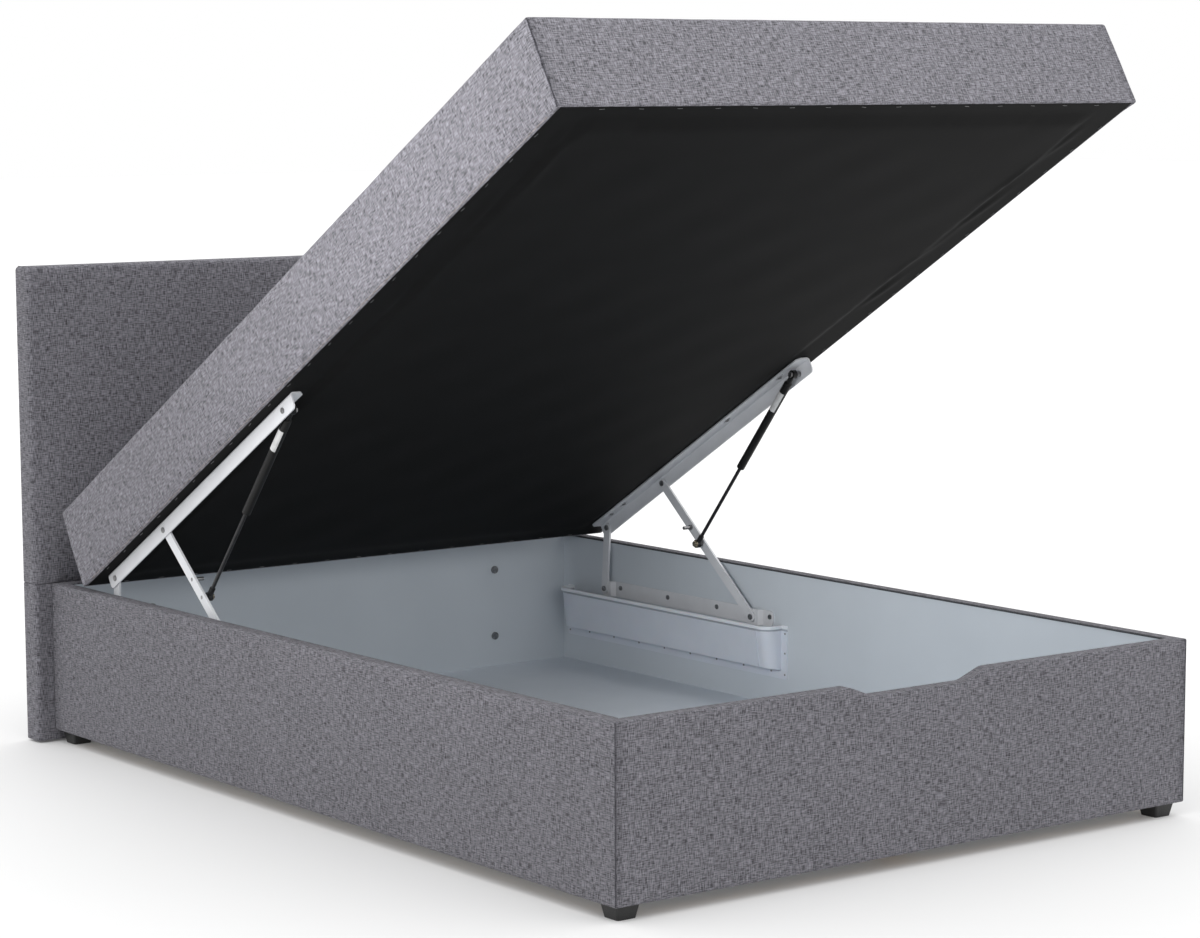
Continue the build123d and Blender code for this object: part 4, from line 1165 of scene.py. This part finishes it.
class BED_OT_screws(bpy.types.Operator):
    """The cross-head screws of the rails and the feet"""

    bl_idname = "bed.screws"
    bl_label = "Screws"

    def execute(self, context):
        sizes = context.scene.bed_hardware
        steel, screw_places = 0.003, (0.128, 0.183, 0.627, 0.839)
        for name, side in SIDES.items():
            web, flange_end = sorted((abs(x.x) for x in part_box(f"rail_{name}")), reverse=True)
            slot_x = (flange_end + web - steel) / 2
            places = [
                facing(PLATFORM @ Vector((-side * slot_x, along, -steel)), -UP)
                for along in screw_places
            ]
            screw = cross_head(f"rail_screws_{name}", sizes.screw_radius, 0.0026)
            self.hold(copies(screw, places), "platform")
        sink_depth = 0.016
        places = []
        for foot in ("front_left", "front_right", "back_left", "back_right", "middle"):
            low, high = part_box(f"foot_{foot}")
            centre = (low + high) / 2
            places.append(facing((centre.x, centre.y, sink_depth), (0, 0, -1)))
        screw = cross_head("foot_screws", sizes.foot_screw_radius, 0.004)
        self.hold(copies(screw, places), "root")
        return {"FINISHED"}

    def hold(self, screws, body):
        smooth(screws)
        hand_over(screws, "zinc", body)


class BED_OT_rod_nuts(bpy.types.Operator):
    """The yellow nut and washer on the lower eye of each gas spring"""

    bl_idname = "bed.rod_nuts"
    bl_label = "Gas spring nuts"

    def execute(self, context):
        radius = context.scene.bed_hardware.nut_radius
        washer, depth, eye_radius, eye_face = 0.0012, 0.0054, 0.0095, 0.638
        rod_end = reach("gas_rod_left", SPRING_DOWN)[1]
        eye = GAS_EYE + SPRING_DOWN * (rod_end - eye_radius - SPRING_DOWN.dot(GAS_EYE))
        for name, side in SIDES.items():
            nut = hex_nut(f"gas_spring_nut_{name}", radius, depth, washer)
            place_by(nut, facing((side * eye_face, eye.y, eye.z), (-side, 0, 0)))
            smooth(nut, 30)
            hand_over(nut, "brass_zinc", f"gas_rod_{name}", slot="zinc")
        return {"FINISHED"}


class BED_OT_patches(bpy.types.Operator):
    """The bare paper patch on each gas spring"""

    bl_idname = "bed.patches"
    bl_label = "Gas spring patches"

    def execute(self, context):
        length = context.scene.bed_hardware.patch_length
        radius, paper, from_eye, half_arc = 0.00915, 0.00012, 0.053, radians(72)
        across = Vector((1, 0, 0))
        turn = Matrix((across, -SPRING_DOWN.cross(across), SPRING_DOWN)).transposed().to_4x4()
        for name in SIDES:
            low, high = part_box(f"gas_cylinder_{name}")
            patch = bar(f"gas_spring_patch_{name}", radius, length, 72, ends="NOTHING")
            with editing(patch):
                take_away(
                    patch, lambda face: (-across).angle(Vector((*middle(face).xy, 0))) > half_arc
                )
            thicken(patch, paper, 30)
            place = Vector(((low.x + high.x) / 2, GAS_EYE.y, GAS_EYE.z))
            place += SPRING_DOWN * (from_eye + length / 2)
            place_by(patch, Matrix.Translation(place) @ turn)
            hand_over(patch, "patch", f"gas_cylinder_{name}", slot="white_steel")
        return {"FINISHED"}


# Studio

class BED_OT_studio(bpy.types.Operator):
    """The pale floor, the soft lights and the camera"""

    bl_idname = "bed.studio"
    bl_label = "Studio"

    def execute(self, context):
        sizes = context.scene.bed_studio
        self.camera(context, sizes)
        self.floor()
        self.softbox("key light", (-3.4, -1.0, 1.75), (-0.7, -0.45, 1.3), 1.0, sizes.key_power)
        context.scene.world = bpy.data.worlds.new("studio")
        room = Nodes(context.scene.world, "Background", "Generated")
        room.shader.inputs["Color"].default_value = (1, 1, 1, 1)
        brightness = room.spread(room.coordinate(2), 0.15, 1.0, sizes.horizon, sizes.zenith)
        room.link(brightness, "Strength")
        context.scene.view_settings.view_transform = "Standard"
        return {"FINISHED"}

    def camera(self, context, sizes):
        bpy.ops.object.camera_add(location=sizes.camera_place)
        camera = context.scene.camera = context.active_object
        camera.name = "camera"
        turn = Euler((radians(90 - sizes.elevation), 0, radians(sizes.azimuth))).to_matrix()
        tilted = turn @ Matrix.Rotation(radians(sizes.roll), 3, "Z")
        camera.rotation_euler = tilted.to_euler()
        for key in ("lens", "shift_x", "shift_y"):
            setattr(camera.data, key, getattr(sizes, key))
        camera.data.sensor_width = 36
        camera.data.sensor_fit = "HORIZONTAL"
        camera.data.clip_end = 200

    def floor(self):
        select_none()
        bpy.ops.mesh.primitive_plane_add(size=90)
        floor = bpy.context.active_object
        floor.name = "studio_floor"
        finish = new_finish(
            "studio floor", roughness=0.8, specular_ior_level=0.1, emission_strength=0.06,
            emission_color=(1, 1, 1, 1),
        )
        finish.link(finish.mix(finish.noise(0.8), (0.72,) * 3, (0.75,) * 3), "Base Color")
        floor.data.materials.append(finish.owner)

    def softbox(self, name, place, target, size, power):
        bpy.ops.object.light_add(type="AREA", location=place)
        light = bpy.context.active_object
        light.name = name
        light.data.shape = "SQUARE"
        light.data.size = size
        light.data.energy = power
        light.data.spread = radians(38)
        way = Vector(target) - Vector(place)
        light.rotation_euler = way.to_track_quat("-Z", "Y").to_euler()


OPERATORS = (
    BED_OT_studio, BED_OT_finishes, BED_OT_platform_cover, BED_OT_dust_cloth, BED_OT_staples,
    BED_OT_box_covers, BED_OT_headboard_covers, BED_OT_rim_welts, BED_OT_tray_tacks,
    BED_OT_screws, BED_OT_rod_nuts, BED_OT_patches,
)
SETTINGS = {
    "bed_upholstery": BedUpholstery,
    "bed_underside": BedUnderside,
    "bed_hardware": BedHardware,
    "bed_studio": BedStudio,
}


class BED_PT_panel(bpy.types.Panel):
    """Lists the pieces of the bed and their sizes"""

    bl_idname = "BED_PT_panel"
    bl_label = "Storage Bed"
    bl_space_type = "VIEW_3D"
    bl_region_type = "UI"
    bl_category = "Bed"

    def draw(self, context):
        for operator in OPERATORS:
            self.layout.operator(operator.bl_idname)
        for name, group in SETTINGS.items():
            box = self.layout.box()
            box.label(text=group.__doc__)
            for size in group.__annotations__:
                box.prop(getattr(context.scene, name), size)


CLASSES = (*SETTINGS.values(), *OPERATORS, BED_PT_panel)


def register():
    for each in CLASSES:
        bpy.utils.register_class(each)
    for name, group in SETTINGS.items():
        setattr(bpy.types.Scene, name, PointerProperty(type=group))


def unregister():
    for name in SETTINGS:
        delattr(bpy.types.Scene, name)
    for each in reversed(CLASSES):
        bpy.utils.unregister_class(each)


def main():
    register()
    for operator in OPERATORS:
        group, action = operator.bl_idname.split(".")
        getattr(getattr(bpy.ops, group), action)()


if __name__ == "__main__":
    main()
